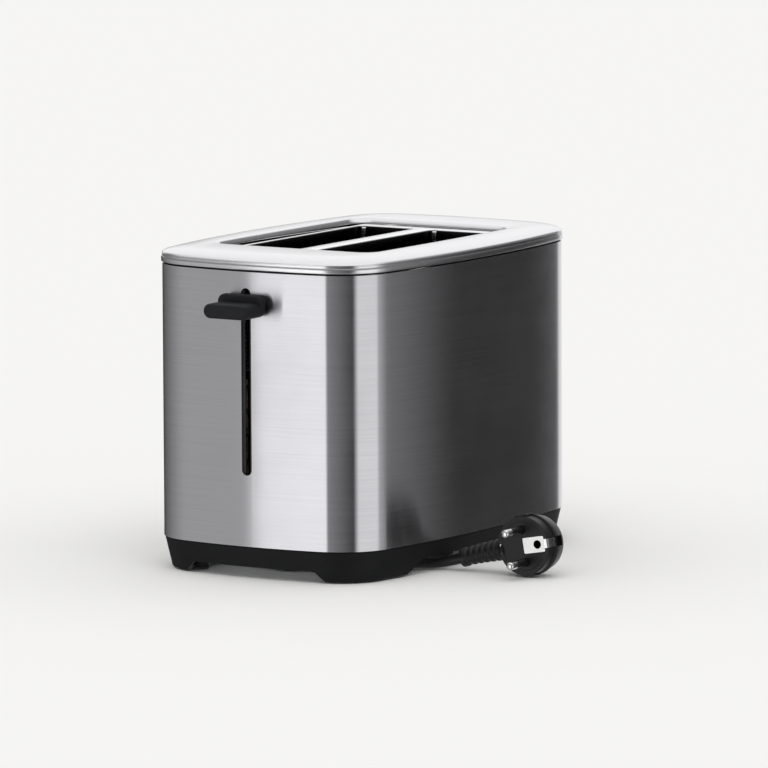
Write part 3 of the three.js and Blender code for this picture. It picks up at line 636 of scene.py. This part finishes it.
def plug_body():
    """A round two-pin plug: a shrouded front part with earth grooves and guide ribs, and a domed back."""
    rim, depth = PLUG["rim"], PLUG["depth"]
    skin = Skin(PLUG_PLACE)
    front = [(0, 0.25), (rim - 4.2, 0.25), (rim - 3.9, 0), (rim - 1.5, 0), (rim - 1.1, 0.4), (rim - 0.95, 7)]
    back = [(rim - 0.1, 7.2), (rim, 7.6), (rim, 8.6), (rim - 0.5, 9.3), (rim - 0.6, 10.4)]
    end = [(rim - 2, depth - 2), (rim - 2.7, depth - 0.6), (rim - 4, depth), (0, depth)]
    skin.lathe([*front, *back, *end], 64)
    body = skin.build("plug_moulding")
    tools = []
    for side in (-1, 1):
        groove = rounded(3.4, 3.0, 0.8, side * (rim - 0.8), 0)
        tools.append(prism("groove", groove, -1, 16.5, PLUG_PLACE))
        pin = circle(PLUG_PIN["radius"] + 0.25, 24, 0, side * PLUG["pin_offset"])
        tools.append(prism("pin_hole", pin, -1, 1.6, PLUG_PLACE))
    tools.append(prism("earth_well", circle(3.0, 32, PLUG["pin_offset"], 0), -1, 9, PLUG_PLACE))
    tools.append(prism("earth_recess", rounded(7.6, 5.2, 1.2, EARTH_PLATE["middle"]), -1, 0.9, PLUG_PLACE))
    combined(body, tools)
    ribs = []
    for side in (-1, 1):
        rib = rounded(4.2, 1.6, 0.8, 0, side * (rim - 1.6))
        ribs.append(prism("rib", rib, 1.6, 7.5, PLUG_PLACE))
    combined(body, ribs, "UNION")
    return dress(body, "cable", "housing", "plug_body", smooth=30)


def plug_pin(name, side, node):
    """A round pin with a bullet tip; its root is sleeved in black."""
    offset = side * PLUG["pin_offset"]
    place = PLUG_PLACE @ Matrix.Translation((0, offset, 0))
    radius, length, sleeved = PLUG_PIN["radius"], PLUG_PIN["length"], PLUG_PIN["sleeve"]
    metal = Skin(place)
    tip = [(radius, 1.9), (radius * 0.97, 1.1), (radius * 0.84, 0.45), (radius * 0.6, 0.1), (0, 0)]
    root = [(0, 1.4), (radius - 0.3, 1.4), (radius - 0.3, -sleeved), (radius, -sleeved)]
    metal.lathe([*root, *((r, h - length) for r, h in tip)], 28)
    pin = dress(metal.build(name), "plated", "housing", node, smooth=50)
    cover = Skin(place)
    inner = radius - 0.28
    end = -sleeved + 0.05
    tube = ((inner, 1.4), (radius, 1.4), (radius, end), (inner, end))
    cover.loft([lifted(circle(r, 28), h) for r, h in tube], wrap=True)
    sleeve = dress(cover.build(name + "_sleeve"), "cable", "housing")
    return [pin, sleeve]


def earth_contacts():
    """The socket plate in the plug's face and the two sprung strips in its sides."""
    rim = PLUG["rim"]
    face = rounded(EARTH_PLATE["half_width"], EARTH_PLATE["half_height"], 0.9, EARTH_PLATE["middle"])
    plate = prism("plug_earth_plate", face, 0.15, 0.75, PLUG_PLACE)
    hole = prism("hole", circle(2.5, 28, PLUG["pin_offset"]), -1, 3, PLUG_PLACE)
    combined(plate, [hole])
    dress(eased(plate, 0.12), "plated", "housing")
    strips = []
    for side in (-1, 1):
        bend = [(rim - 4.3, 0.1), (rim - 2.4, 0.15), (rim - 1.7, 0.8), (rim - 1.4, 4), (rim - 1.9, 9)]
        skin = Skin(PLUG_PLACE)
        outer = [(side * u, w) for u, w in bend]
        inner = [(side * (u - 0.4), w + 0.35) for u, w in bend]
        loop = outer + inner[::-1]
        skin.loft([[(u, v, w) for u, w in loop] for v in (-2.7, 2.7)], cap=True)
        strip = skin.build("plug_earth_strip_" + ("left" if side < 0 else "right"))
        strips.append(dress(eased(strip, 0.1), "plated", "housing"))
    return [plate, *strips]


lead, LEAD_LENGTH = mains_lead()
on_lead = [strain_relief(), plug_body(), *earth_contacts()]
on_lead += plug_pin("plug_upper_pin", -1, "plug_pin_upper")
on_lead += plug_pin("plug_lower_pin", 1, "plug_pin_lower")


# ---- Body ----
def outer_shell():
    """The brushed wrap: one sheet round the body, with the lever's slot in its front."""
    half, low, high = LEVER_SLOT["half"], LEVER_SLOT["low"], LEVER_SLOT["high"]
    end_centre = BODY["half_y"] - BODY["end"]
    columns = [(x, y) for x, y in body_outline(0) if y > 0 or abs(x) > half + 0.5]
    first = next(i for i, (x, y) in enumerate(columns) if y < 0 and x > 0)
    steps = 16
    slot_x = [-half * math.cos(math.pi * i / steps) for i in range(steps + 1)]
    slotted = [(x, -(end_centre + math.sqrt(BODY["end"] ** 2 - x * x))) for x in slot_x]
    columns[first:first] = slotted
    skin = Skin()
    foot = skin.ring(lifted(columns, SHELL["low"]))
    head = skin.ring(lifted(columns, SHELL["high"]))
    lower, upper = {}, {}
    for i, (x, y) in enumerate(slotted):
        round_end = math.sqrt(max(0.0, half * half - x * x))
        lower[first + i] = skin.ring([(x, y, low + half - round_end)])[0]
        upper[first + i] = skin.ring([(x, y, high - half + round_end)])[0]
    for i in range(len(columns)):
        j = (i + 1) % len(columns)
        if i in lower and j in lower:
            skin.faces.append((foot[i], foot[j], lower[j], lower[i]))
            skin.faces.append((upper[i], upper[j], head[j], head[i]))
        elif j in lower:
            skin.faces.append((foot[i], foot[j], lower[j], upper[j], head[j], head[i]))
        elif i in lower:
            skin.faces.append((foot[i], foot[j], head[j], head[i], upper[i], lower[i]))
        else:
            skin.faces.append((foot[i], foot[j], head[j], head[i]))
    shell = skin.build("shell_wrap")
    sheet = shell.modifiers.new("sheet", "SOLIDIFY")
    sheet.thickness = SHELL["sheet"] * MM
    sheet.offset = -1
    settled(shell)
    dress(eased(shell, 0.25, angle=50), "brushed_shell", "housing", "outer_shell")


def cover_outside():
    """The cover's outside as (inset, z): skirt, two fine grooves and a bull-nose up to the crown."""
    low, crown, nose_low = COVER["low"], COVER["crown"], COVER["nose_low"]
    out = -COVER["proud"]
    skirt = [(0.3, low), (out + 0.1, low), (out, low + 0.15), (out, low + 2.75), (out + 0.1, low + 2.9)]
    lower_groove = [(0.6, low + 2.95), (0.6, low + 3.5), (-0.25, low + 3.55)]
    upper_groove = [(-0.25, low + 4.1), (0.6, low + 4.15), (0.6, low + 4.6), (-0.2, low + 4.65)]
    nose = [(-0.3, nose_low + 0.1)]
    for across, up in quarter_round(18)[2:]:
        nose.append((COVER["nose_reach"] * across - 0.3, nose_low + (crown - nose_low) * up))
    return skirt + lower_groove + upper_groove + nose


def cover_opening():
    """The opening's lip, its wall and the wall's foot as (half x, half y, z)."""
    x, y, crown, floor = OPENING["x"], OPENING["y"], COVER["crown"], COVER["floor"]
    wall_x, wall_y = OPENING["rim_x"], OPENING["rim_y"]
    loops = [(x + 2.2, y + 2.8, crown)]
    for across, down in ((1.5, 0.06), (0.8, 0.3), (0.3, 0.75), (0, 1.3)):
        loops.append((x + across, y + across * 1.3, crown - down))
    for share in (0.25, 0.5, 0.75):
        slope = 1 - (1 - share) ** 1.6
        loops.append((x + (wall_x - x) * slope, y + (wall_y - y) * slope, crown - 1.3 - 1.8 * share))
    loops += [(wall_x, wall_y, floor), (wall_x + 1, wall_y + 1, floor)]
    return [*loops, (x + 1.2, y + 1.6, crown - 2.2)]


def cover():
    """The formed cover: its outside, the wall down into the opening, and its underside."""
    crown = COVER["crown"]
    underside = [(COVER["nose_reach"], crown - 1.4), (4, crown - 3), (1.8, crown - 4.8), (1.6, COVER["low"])]
    rings = [lifted(body_outline(inset), z) for inset, z in cover_outside()]
    rings += [lifted(opening_outline(x, y), z) for x, y, z in cover_opening()]
    rings += [lifted(body_outline(inset), z) for inset, z in underside]
    skin = Skin()
    skin.loft(rings, wrap=True)
    dress(skin.build("cover"), "satin_cover", "housing", "top_frame", smooth=40)


def gasket():
    """The dark joint between the cover and the wrap."""
    skin = Skin()
    loop = ((0.95, 180.9), (0.8, 181.2), (0.95, 181.5), (5, 181.5), (5, 180.9))
    skin.loft([lifted(body_outline(inset), z) for inset, z in loop], wrap=True)
    dress(skin.build("joint_seal"), "black_plastic", "housing", "joint_gasket")


def bread_way(side, grown, corner):
    """The outline of one bread slot."""
    half = (BREAD["outer"] - BREAD["inner"]) / 2
    middle = side * (BREAD["outer"] + BREAD["inner"]) / 2
    return rounded(half + grown, BREAD["half_y"] + grown, corner, middle)


def slot_deck():
    """A polished deck with a folded edge and two sleeved bread slots with rolled lips."""
    half_x, half_y, top = DECK["half_x"], DECK["half_y"], DECK["top"]
    roll = 0.8
    skin = Skin()
    outer = [lifted(rounded(half_x, half_y, 4), DECK["low"])]
    for across, up in quarter_round(4):
        inset = roll * across
        outer.append(lifted(rounded(half_x - inset, half_y - inset, 4 - inset), top - roll + roll * up))
    edge = skin.loft(outer)[-1]
    lips = []
    for side in (-1, 1):
        rings = []
        for across, up in reversed(quarter_round(4)):
            grown = roll * across
            rings.append(lifted(bread_way(side, grown, BREAD["corner"] + grown), top - roll + roll * up))
        rings.append(lifted(bread_way(side, 0, BREAD["corner"]), DECK["sleeve_low"]))
        lips.append(skin.loft(rings)[0])
    skin.sheet(edge, lips)
    deck = skin.build("slot_deck_sheet")
    sheet = deck.modifiers.new("sheet", "SOLIDIFY")
    sheet.thickness = 0.7 * MM
    sheet.offset = -1
    settled(deck)
    dress(deck, "satin_cover", "housing", "slot_deck", look="deck", smooth=50)


def slot_clips():
    """Small bright spring clips that hold the deck, beside the far end of each slot."""
    for name, x in (("left", -41.2), ("right", 8.8)):
        skin = Skin()
        profile = [(64.6, 181), (64.6, 185.2), (64.9, 186.1), (65.6, 186.5), (66.2, 186.2)]
        loop = profile + [(y + 0.4, z - 0.45) for y, z in reversed(profile)]
        skin.loft([[(px, y, z) for y, z in loop] for px in (x - 1.4, x + 1.4)], cap=True)
        dress(eased(skin.build("slot_clip_" + name), 0.1), "satin_cover", "housing")


def slot_shade_strips():
    """Two black strips inside the lever's slot, painted shade that keeps its inside dark, leaving a narrow
    way for the stem.
    """
    for name, side in (("left", -1), ("right", 1)):
        edges = sorted((side * 1.6, side * 6))
        low = (edges[0], -127.9, LEVER_SLOT["low"] - 4)
        high = (edges[1], -127.2, LEVER_SLOT["high"] + 4)
        dress(eased(block("slot_shade_strip_" + name, low, high), 0.2), "rubber", "housing")


def archway(half_top, half_bottom, top):
    """The opening under the skirt between two feet: sloped ends with soft corners."""
    soft = 2.2
    side = [(half_bottom, -1), (half_bottom, 0.6), (half_bottom - 0.7, 1.8), (half_top + 1.3, top - 1.5)]
    side += [(half_top + 0.4, top - 0.5), (half_top - soft, top)]
    return side + [(-u, v) for u, v in reversed(side)]


def base():
    """The moulded base: a tapered skirt on four corner feet, open inside, with a doorway for the tray."""
    profile = [(5.2, BASE["low"]), (4.6, BASE["low"] + 0.6), (3, BASE["taper"]), (1.1, BASE["shoulder"])]
    profile += [(0.6, BASE["top"] - 0.5), (0.9, BASE["top"])]
    outside = Skin()
    outside.loft([lifted(body_outline(inset), z) for inset, z in profile], cap=True)
    skirt = outside.build("base_moulding")
    inside = Skin()
    rings = [(4.2, 3.5), (3, BASE["taper"]), (1.6, 16.8)]
    inside.loft([lifted(body_outline(inset + BASE["wall"]), z) for inset, z in rings], cap=True)
    tools = [inside.build("inside")]
    tools.append(prism("front_arch", archway(*ARCHES["front"]), -200, 200, TO_FRONT))
    tools.append(prism("side_arch", archway(*ARCHES["side"]), -200, 200, TO_CORD_SIDE))
    tools.append(block("chamber", (-54.5, -100, 14), (54.5, 110, 25)))
    tools.append(block("doorway", (-54.5, 100, 12.6), (54.5, 150, 25)))
    posts = []
    for i in range(1, 5):
        low, high = node_box(f"rubber_foot_{i}")
        x, y = (low.x + high.x) / 2, (low.y + high.y) / 2
        tools.append(prism("seat", circle(7.3, 32, x, y), -1, 2.1))
        posts.append(prism("post", circle(7, 32, x, y), 2.1, BASE["post_high"]))
    combined(skirt, tools)
    combined(skirt, posts, "UNION")
    dress(eased(skirt, 0.3, angle=40), "black_plastic", "housing", "base")


def rubber_feet():
    """Four ribbed rubber pads."""
    for i in range(1, 5):
        node = f"rubber_foot_{i}"
        low, high = node_box(node)
        skin = Skin(Matrix.Translation(((low.x + high.x) / 2, (low.y + high.y) / 2, 0)))
        ribs = [(0, 0.5), (1.6, 0.5), (1.9, 0), (3.1, 0), (3.4, 0.5), (4.4, 0.5), (4.7, 0), (6.3, 0)]
        skin.lathe([*ribs, (6.8, 0.25), (7, 0.7), (7, 1.6), (6.8, 1.8), (0, 1.8)], 40)
        dress(skin.build(f"foot_pad_{i}"), "rubber", "housing", node)


# ---- Lever ----
def soft_bar(name, half, low, high, front, back, edge):
    """A bar with round ends, laid along X, whose front and back edges are rounded."""
    middle, tall = (low + high) / 2, (high - low) / 2
    corner = min(tall, KNOB["corner"])
    skin = Skin(TO_FRONT)
    rings = []
    turned = quarter_round(5)
    for across, up in turned:
        rings.append((edge * (1 - up), -back + edge * across))
    for across, up in reversed(turned):
        rings.append((edge * (1 - up), -front - edge * across))
    loops = []
    for inset, depth in rings:
        loops.append(lifted(rounded(half - inset, tall - inset, corner - inset, 0, middle, 16), depth))
    skin.loft(loops, cap=True)
    return skin.build(name)


def lever_knob():
    """A two-tier finger knob: a tall rear bar and a longer, lower nose."""
    low, high = node_box("lever_knob")
    half, step = high.x, KNOB["step"]
    rear = soft_bar("lever_knob_grip", half, low.z, high.z, step, high.y, 1.3)
    nose = soft_bar("nose", half, low.z, KNOB["step_high"], low.y, step + 2, 1.7)
    combined(rear, [nose], "UNION")
    inner, outer = node_box("lever_stem")
    gap = Vector((0.25, 0.25, 0.25))
    combined(rear, [block("socket", inner - gap, outer + gap)])
    dress(rear, "knob_plastic", "carriage", "lever_knob", smooth=28)


# ---- Controls: drawn in (u, v, w) = (towards the lever's end, up, outwards) ----
PANEL_FACE = -(BODY["half_x"] + 0.3 + PANEL["thick"])


def on_panel(u=0.0, v=0.0, w=0.0):
    """A place on the control panel's face, turned to look outwards."""
    turned = Matrix(((0, 0, -1, 0), (-1, 0, 0, 0), (0, 1, 0, 0), (0, 0, 0, 1)))
    return Matrix.Translation((PANEL_FACE, 0, 0)) @ turned @ Matrix.Translation((u, v, w))


def button_outline(v, grown):
    return rounded(11 + grown, 4.5 + grown, 4.5 + grown, 0, v, 10)


def control_panel():
    """The controls' plate, with a soft edge, a shallow seat round the dial and three button holes."""
    skin = Skin(on_panel())
    half_u, half_v, radius, thick = PANEL["half_u"], PANEL["half_v"], PANEL["radius"], PANEL["thick"]
    rings = [(0.0, -thick), (0.0, -1.1), (0.25, -0.5), (0.7, -0.15), (1.4, 0.0)]
    outer = [lifted(rounded(half_u - i, half_v - i, radius - i, 0, PANEL["z"], 14), w) for i, w in rings]
    placed = skin.loft(outer)
    back_holes, front_holes = [], []
    for height in BUTTONS.values():
        hole = [(0.75, 0.0), (0.5, -0.12), (0.4, -0.4), (0.4, -thick)]
        loops = skin.loft([lifted(button_outline(height, grown), w) for grown, w in hole])
        front_holes.append(loops[0])
        back_holes.append(loops[-1])
    seat = [(18.2, 0.0), (17.8, -0.15), (17.4, -0.8), (17.0, -0.9), (4.6, -0.9), (4.6, -thick)]
    loops = skin.loft([lifted(circle(r, 64, 0, DIAL["z"]), w) for r, w in seat])
    front_holes.append(loops[0])
    back_holes.append(loops[-1])
    skin.sheet(placed[-1], front_holes)
    skin.sheet(placed[0], back_holes)
    dress(skin.build("control_plate"), "black_plastic", "housing", "control_panel")


def browning_dial():
    """A fluted dial with a raised grip bar and a pointer line, on its shaft."""
    radius, disc, depth = DIAL["radius"], DIAL["disc"], DIAL["depth"]
    gap = 0.3
    skin = Skin(on_panel(0, DIAL["z"]))
    sides = 144
    rings = []
    shaft = [(3, -5.5, 0), (3, gap - 0.3, 0)]
    skirt = [(radius - 0.6, gap, 0), (radius, gap + 0.4, 1), (radius - 0.5, gap + disc - 1.4, 1)]
    face = [(radius - 1.0, gap + disc - 0.5, 0.4), (radius - 1.9, gap + disc, 0)]
    face.append((radius - 3.2, gap + disc - 0.25, 0))
    for r, w, flute in shaft + skirt + face:
        loop = []
        for i in range(sides):
            angle = 2 * math.pi * i / sides
            reach = r - 0.28 * flute * (0.5 + 0.5 * math.cos(angle * 36))
            loop.append((reach * math.cos(angle), reach * math.sin(angle), w))
        rings.append(loop)
    skin.loft(rings, cap=True)
    dial = skin.build("dial_knob")
    grip = Skin(on_panel(0, DIAL["z"]))
    taper = [(3.3, 14.3, gap + disc - 2), (2.9, 14.1, gap + disc + 1), (2.5, 13.7, depth - 0.9 + gap)]
    taper += [(2.2, 13.4, depth - 0.35 + gap), (1.6, 12.8, depth + gap - 0.02)]
    grip.loft([lifted(rounded(u, v, min(u, 2.2), 0, 0, 6), w) for u, v, w in taper], cap=True)
    combined(dial, [grip.build("grip")], "UNION")
    dress(dial, "knob_plastic", "dial", "browning_dial", smooth=40)
    line = Skin(on_panel(0, DIAL["z"]))
    mark = rounded(0.45, 2.6, 0.4, 0, 9.6, 4)
    line.loft([lifted(mark, depth + gap - 0.3), lifted(mark, depth + gap)], cap=True)
    dress(line.build("dial_pointer"), "knob_plastic", "dial", look="print")


def dial_scale():
    """Printed dots round the dial that grow with the browning level."""
    skin = Skin(on_panel(0, DIAL["z"]))
    dots = 9
    for i in range(dots):
        angle = math.radians(90 + 135 - 270 * i / (dots - 1))
        middle = (20.3 * math.cos(angle), 20.3 * math.sin(angle))
        size = 0.35 + 0.06 * i
        skin.loft([lifted(circle(size, 16, *middle), w) for w in (-0.1, 0.04)], cap=True)
    dress(skin.build("dial_scale"), "black_plastic", "housing", look="print")


def push_buttons():
    """Three domed push buttons, each with a small printed sign: a ring, a star and a half turn."""
    for name, height in BUTTONS.items():
        skin = Skin(on_panel())
        dome = [(0.0, 1.6), (-0.25, 2.15), (-0.8, 2.45), (-1.8, 2.55), (-3.2, 2.6)]
        rings = [(-1.0, -3.8), (0.0, -3.8), *dome]
        skin.loft([lifted(button_outline(height, grown), w) for grown, w in rings], cap=True)
        body = name.split("_")[0]
        dress(skin.build(name + "_cap"), "knob_plastic", body, name)
        sign = Skin(on_panel(0, height, 2.6))
        button_sign(sign, name)
        dress(sign.build(name + "_sign"), "knob_plastic", body, look="print")


def stroke(skin, start, end, half=0.22):
    """A short printed bar."""
    along = (Vector(end) - Vector(start)).normalized() * half
    side = Vector((-along.y, along.x))
    start, end = Vector(start) - along, Vector(end) + along
    loop = [start - side, end - side, end + side, start + side]
    skin.loft([[(p.x, p.y, w) for p in loop] for w in (-0.08, 0.03)], cap=True)


def button_sign(skin, name):
    """A star of three strokes, a ring, or part of a ring with an arrowhead."""
    reach = 1.7
    if name == "defrost_button":
        for i in range(3):
            angle = math.radians(30 + 60 * i)
            spot = (reach * math.cos(angle), reach * math.sin(angle))
            stroke(skin, (-spot[0], -spot[1]), spot)
        return
    sweep = 360 if name == "stop_button" else 280
    steps = 28
    rings = []
    for r, w in ((reach - 0.22, -0.08), (reach + 0.22, -0.08), (reach + 0.22, 0.03), (reach - 0.22, 0.03)):
        turns = [math.radians(sweep * i / steps) for i in range(steps + 1)]
        rings.append([(r * math.cos(turn), r * math.sin(turn), w) for turn in turns])
    skin.loft(rings, wrap=True, closed=False)
    if name == "reheat_button":
        stroke(skin, (reach, 0), (reach + 0.8, 0.9))
        stroke(skin, (reach, 0), (reach - 0.9, 0.7))


# ---- Tray, gland and wires ----
def tray_handle():
    """The tray's moulded end: it follows the base's outline and has a finger ledge under a soft lip."""
    low, high = node_box("crumb_tray_handle")
    bottom, top, half = low.z, high.z, high.x
    front = node_box("crumb_tray")[1].y + 0.3
    back_edge = sorted((x, y) for x, y in body_outline(1.4) if y > 0 and abs(x) < half)
    ends = [(-half, front + 0.5), *back_edge, (half, front + 0.5), (half, front), (-half, front)]
    handle = prism("tray_end", ends, bottom, top)
    ledge = prism("ledge", rounded(24, 5, 4, 0, high.y - 5), top - 2.2, top)
    combined(handle, [ledge], "UNION")
    dress(eased(handle, 0.5, 3, 40), "black_plastic", "tray", "crumb_tray_handle")


def cord_gland():
    """The ribbed grommet that the lead leaves the base through."""
    low, high = node_box("cord_gland")
    middle_x, back, mouth = CORD["lane"], low.y, high.y
    skin = Skin(Matrix.Translation((middle_x, 0, CORD["z"])) @ TO_BACK)
    profile = [(0, back), (3.4, back), (3.5, back + 0.4)]
    for i in range(5):
        start = back + 1.5 + i * 3.6
        profile += [(3.5, start), (3.5, start + 1.6), (3.0, start + 2.0), (3.0, start + 3.1)]
    profile += [(3.3, mouth - 0.6), (3.25, mouth), (0, mouth)]
    skin.lathe(profile, 32)
    gland = skin.build("cord_grommet")
    tab = block("tab", (middle_x - 3, back, CORD["z"]), (middle_x + 3, back + 8, high.z))
    combined(gland, [tab], "UNION")
    dress(gland, "black_plastic", "housing", "cord_gland")


def bread_guards():
    """Wire guards with rounded feet and a lip that leans away from the bread, on their pivots."""
    for side in ("left", "right"):
        for row in ("outer", "inner"):
            node = f"bread_guard_{side}_{row}"
            low, high = node_box(node)
            x, top, foot = (low.x + high.x) / 2, high.z, low.z + 0.8
            lean = (1 if x > 0 else -1) * (1 if row == "outer" else -1) * 0.5
            reach = 84
            uprights = 13
            paths = []
            for i in range(uprights):
                y = -reach + 2 * reach * i / (uprights - 1)
                lip = [(x + lean * 0.4, y, top - 4), (x + lean, y, top - 1)]
                paths.append([(x, y, foot), (x, y, top - 9), *lip])
            for z in (foot + 46, foot + 92, top - 8):
                paths.append([(x, -reach, z), (x, reach, z)])
            paths.append([(x, low.y, foot), (x, high.y, foot)])
            paths.append([(x + lean, -reach, top - 1), (x + lean, reach, top - 1)])
            name = f"guard_wires_{side}_{row}"
            dress(wires(name, paths, 0.8), "wire", f"guard_{side}_{row}", node)


def carriage_spring():
    """The carriage's extension spring, built once between the ends of the CAD spring; here it does not
    stretch as the lever goes down.
    """
    low, high = node_box("carriage_spring")
    x, y = (low.x + high.x) / 2, (low.y + high.y) / 2
    wire, turns, per_turn = 0.55, 20, 20
    radius = (high.x - low.x) / 2 - wire
    span = high.z - low.z - 2 * wire
    rings = []
    total = turns * per_turn
    rise = span / (2 * math.pi * radius * turns)
    for i in range(total + 1):
        angle = 2 * math.pi * i / per_turn
        outward = Vector((math.cos(angle), math.sin(angle), 0))
        along = Vector((-math.sin(angle), math.cos(angle), rise)).normalized()
        aside = along.cross(outward)
        middle = Vector((x, y, low.z + wire + span * i / total)) + outward * radius
        rings.append([middle + outward * u + aside * v for u, v in circle(wire, 8)])
    skin = Skin()
    skin.loft(rings, cap=True)
    spring = skin.build("lift_spring")
    spring.data.materials.append(LOOKS["plated"])
    spring.data.shade_smooth()
    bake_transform(spring)
    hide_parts("carriage_spring")


outer_shell()
cover()
gasket()
slot_deck()
slot_clips()
slot_shade_strips()
base()
rubber_feet()
lever_knob()
control_panel()
browning_dial()
dial_scale()
push_buttons()
tray_handle()
cord_gland()
bread_guards()
carriage_spring()


# ---- CAD pieces that stay: their edges are softened and they get their finish ----
def finish_cad_pieces():
    finishes = {part["node"]: part["material_slot"] for part in frame["record"]["subparts"]}
    for name, piece in frame["nodes"].items():
        if piece.hide_render:
            continue
        piece.data.materials.clear()
        piece.data.materials.append(LOOKS[finishes[name]])
        weld = piece.modifiers.new("weld", "WELD")
        weld.merge_threshold = 0.01 * MM
        eased(piece, 0.15, 2, 30)


finish_cad_pieces()


# ---- Studio ----
# Soft boxes round the object, by compass angle: 0 is the lever's end and 90 the cord's side. Each has its
# middle, half its width and how far its soft edge reaches, in degrees, and its brightness. The rear wall's
# angles are in radians.
SOFT_BOXES = {
    "key": {"middle": -15, "half": 15, "edge": 5, "level": 1.4},
    "fill": {"middle": -40, "half": 10, "edge": 90, "level": 0.5},
    "strip": {"middle": 85, "half": 20, "edge": 10, "level": 1.1},
    "strip_glow": {"middle": 100, "half": 5, "edge": 40, "level": 0.7},
    "rear": {"middle": -170, "half": 15, "edge": 10, "level": 0.9},
}
ROOM = 0.04
OVERHEAD = 1.1
UPPER_ROOM = 0.2
TABLE_GLOW = 0.35
REAR_WALL = {"fades_in": -1.9, "full": -2.3}
SKY = {"level": 0.88, "horizon": 0.35, "zenith": 1.09}
BACKGROUND = (0.921, 0.913, 0.896, 1)


def soft_box(kit, turn, box):
    """A soft box's brightness at a compass angle, fading out past its edges."""
    middle, half, reach = (math.radians(box[key]) for key in ("middle", "half", "edge"))
    apart = kit.math("ARCCOSINE", kit.math("COSINE", kit.math("SUBTRACT", turn, middle)))
    return kit.between(apart, half, half + reach, box["level"], 0.0)


def reflected_studio(kit, turn, height):
    """What the metal reflects: soft boxes in a dark room, with a bright ceiling and a pale table."""
    level = ROOM
    for box in SOFT_BOXES.values():
        level = kit.math("MAXIMUM", soft_box(kit, turn, box), level)
    behind = kit.between(turn, REAR_WALL["fades_in"], REAR_WALL["full"])
    rear_wall = kit.math("MULTIPLY", kit.between(height, 0.02, 0.12), behind)
    boxes = kit.mixed(kit.between(height, 0.1, 0.25), level, grey(UPPER_ROOM))
    boxes = kit.mixed(rear_wall, boxes, grey(OVERHEAD))
    boxes = kit.mixed(kit.between(height, 0.45, 0.8), boxes, grey(OVERHEAD))
    return kit.mixed(kit.between(height, -0.4, -0.9), boxes, grey(TABLE_GLOW))


def studio_world():
    """A studio that only gloss sees, a plain bright sky for soft light, and a pale backdrop."""
    world = bpy.data.worlds.new("studio")
    bpy.context.scene.world = world
    world.use_nodes = True
    world.cycles.sampling_method = "NONE"
    kit = Nodes(world.node_tree)
    split = kit.add("SeparateXYZ", {0: kit.add("TexCoord").outputs["Generated"]}).outputs
    turn = kit.math("ARCTAN2", split["X"], kit.math("MULTIPLY", split["Y"], -1.0))
    sky = kit.between(split["Z"], 0.0, 0.6, SKY["horizon"], SKY["zenith"])
    path = kit.add("LightPath").outputs
    boxes = reflected_studio(kit, turn, split["Z"])
    gloss = kit.add("Background", {"Color": boxes, "Strength": 1.0}).outputs[0]
    soft = kit.add("Background", {"Color": sky, "Strength": SKY["level"]}).outputs[0]
    seen = kit.add("Background", {"Color": BACKGROUND, "Strength": 1.0}).outputs[0]
    lit = kit.add("MixShader", {0: path["Is Glossy Ray"], 1: soft, 2: gloss}).outputs[0]
    all_rays = kit.add("MixShader", {0: path["Is Camera Ray"], 1: lit, 2: seen}).outputs[0]
    kit.add("OutputWorld", {"Surface": all_rays})


def soft_sun():
    """A wide, weak key light from above the lever's end."""
    data = bpy.data.lights.new("key", "SUN")
    data.energy = 0.4
    data.angle = math.radians(50)
    key = new_object("key", data)
    key.rotation_euler = Vector((0.35, -0.5, 1.0)).to_track_quat("Z", "Y").to_euler()
    key.visible_glossy = False


def pale_floor():
    """A plain, very wide floor."""
    reach = 400
    mesh = bpy.data.meshes.new("floor")
    corners = [(-reach, -reach, 0), (reach, -reach, 0), (reach, reach, 0), (-reach, reach, 0)]
    mesh.from_pydata(corners, [], [(0, 1, 2, 3)])
    floor = new_object("floor", mesh)
    made, kit = material("floor")
    finished(made, kit, {"Base Color": (0.93, 0.925, 0.91, 1), "Roughness": 1.0, "Specular IOR Level": 0.0})
    mesh.materials.append(made)
    floor.visible_glossy = False


studio_world()
soft_sun()
pale_floor()
bpy.context.scene.view_settings.view_transform = "Standard"
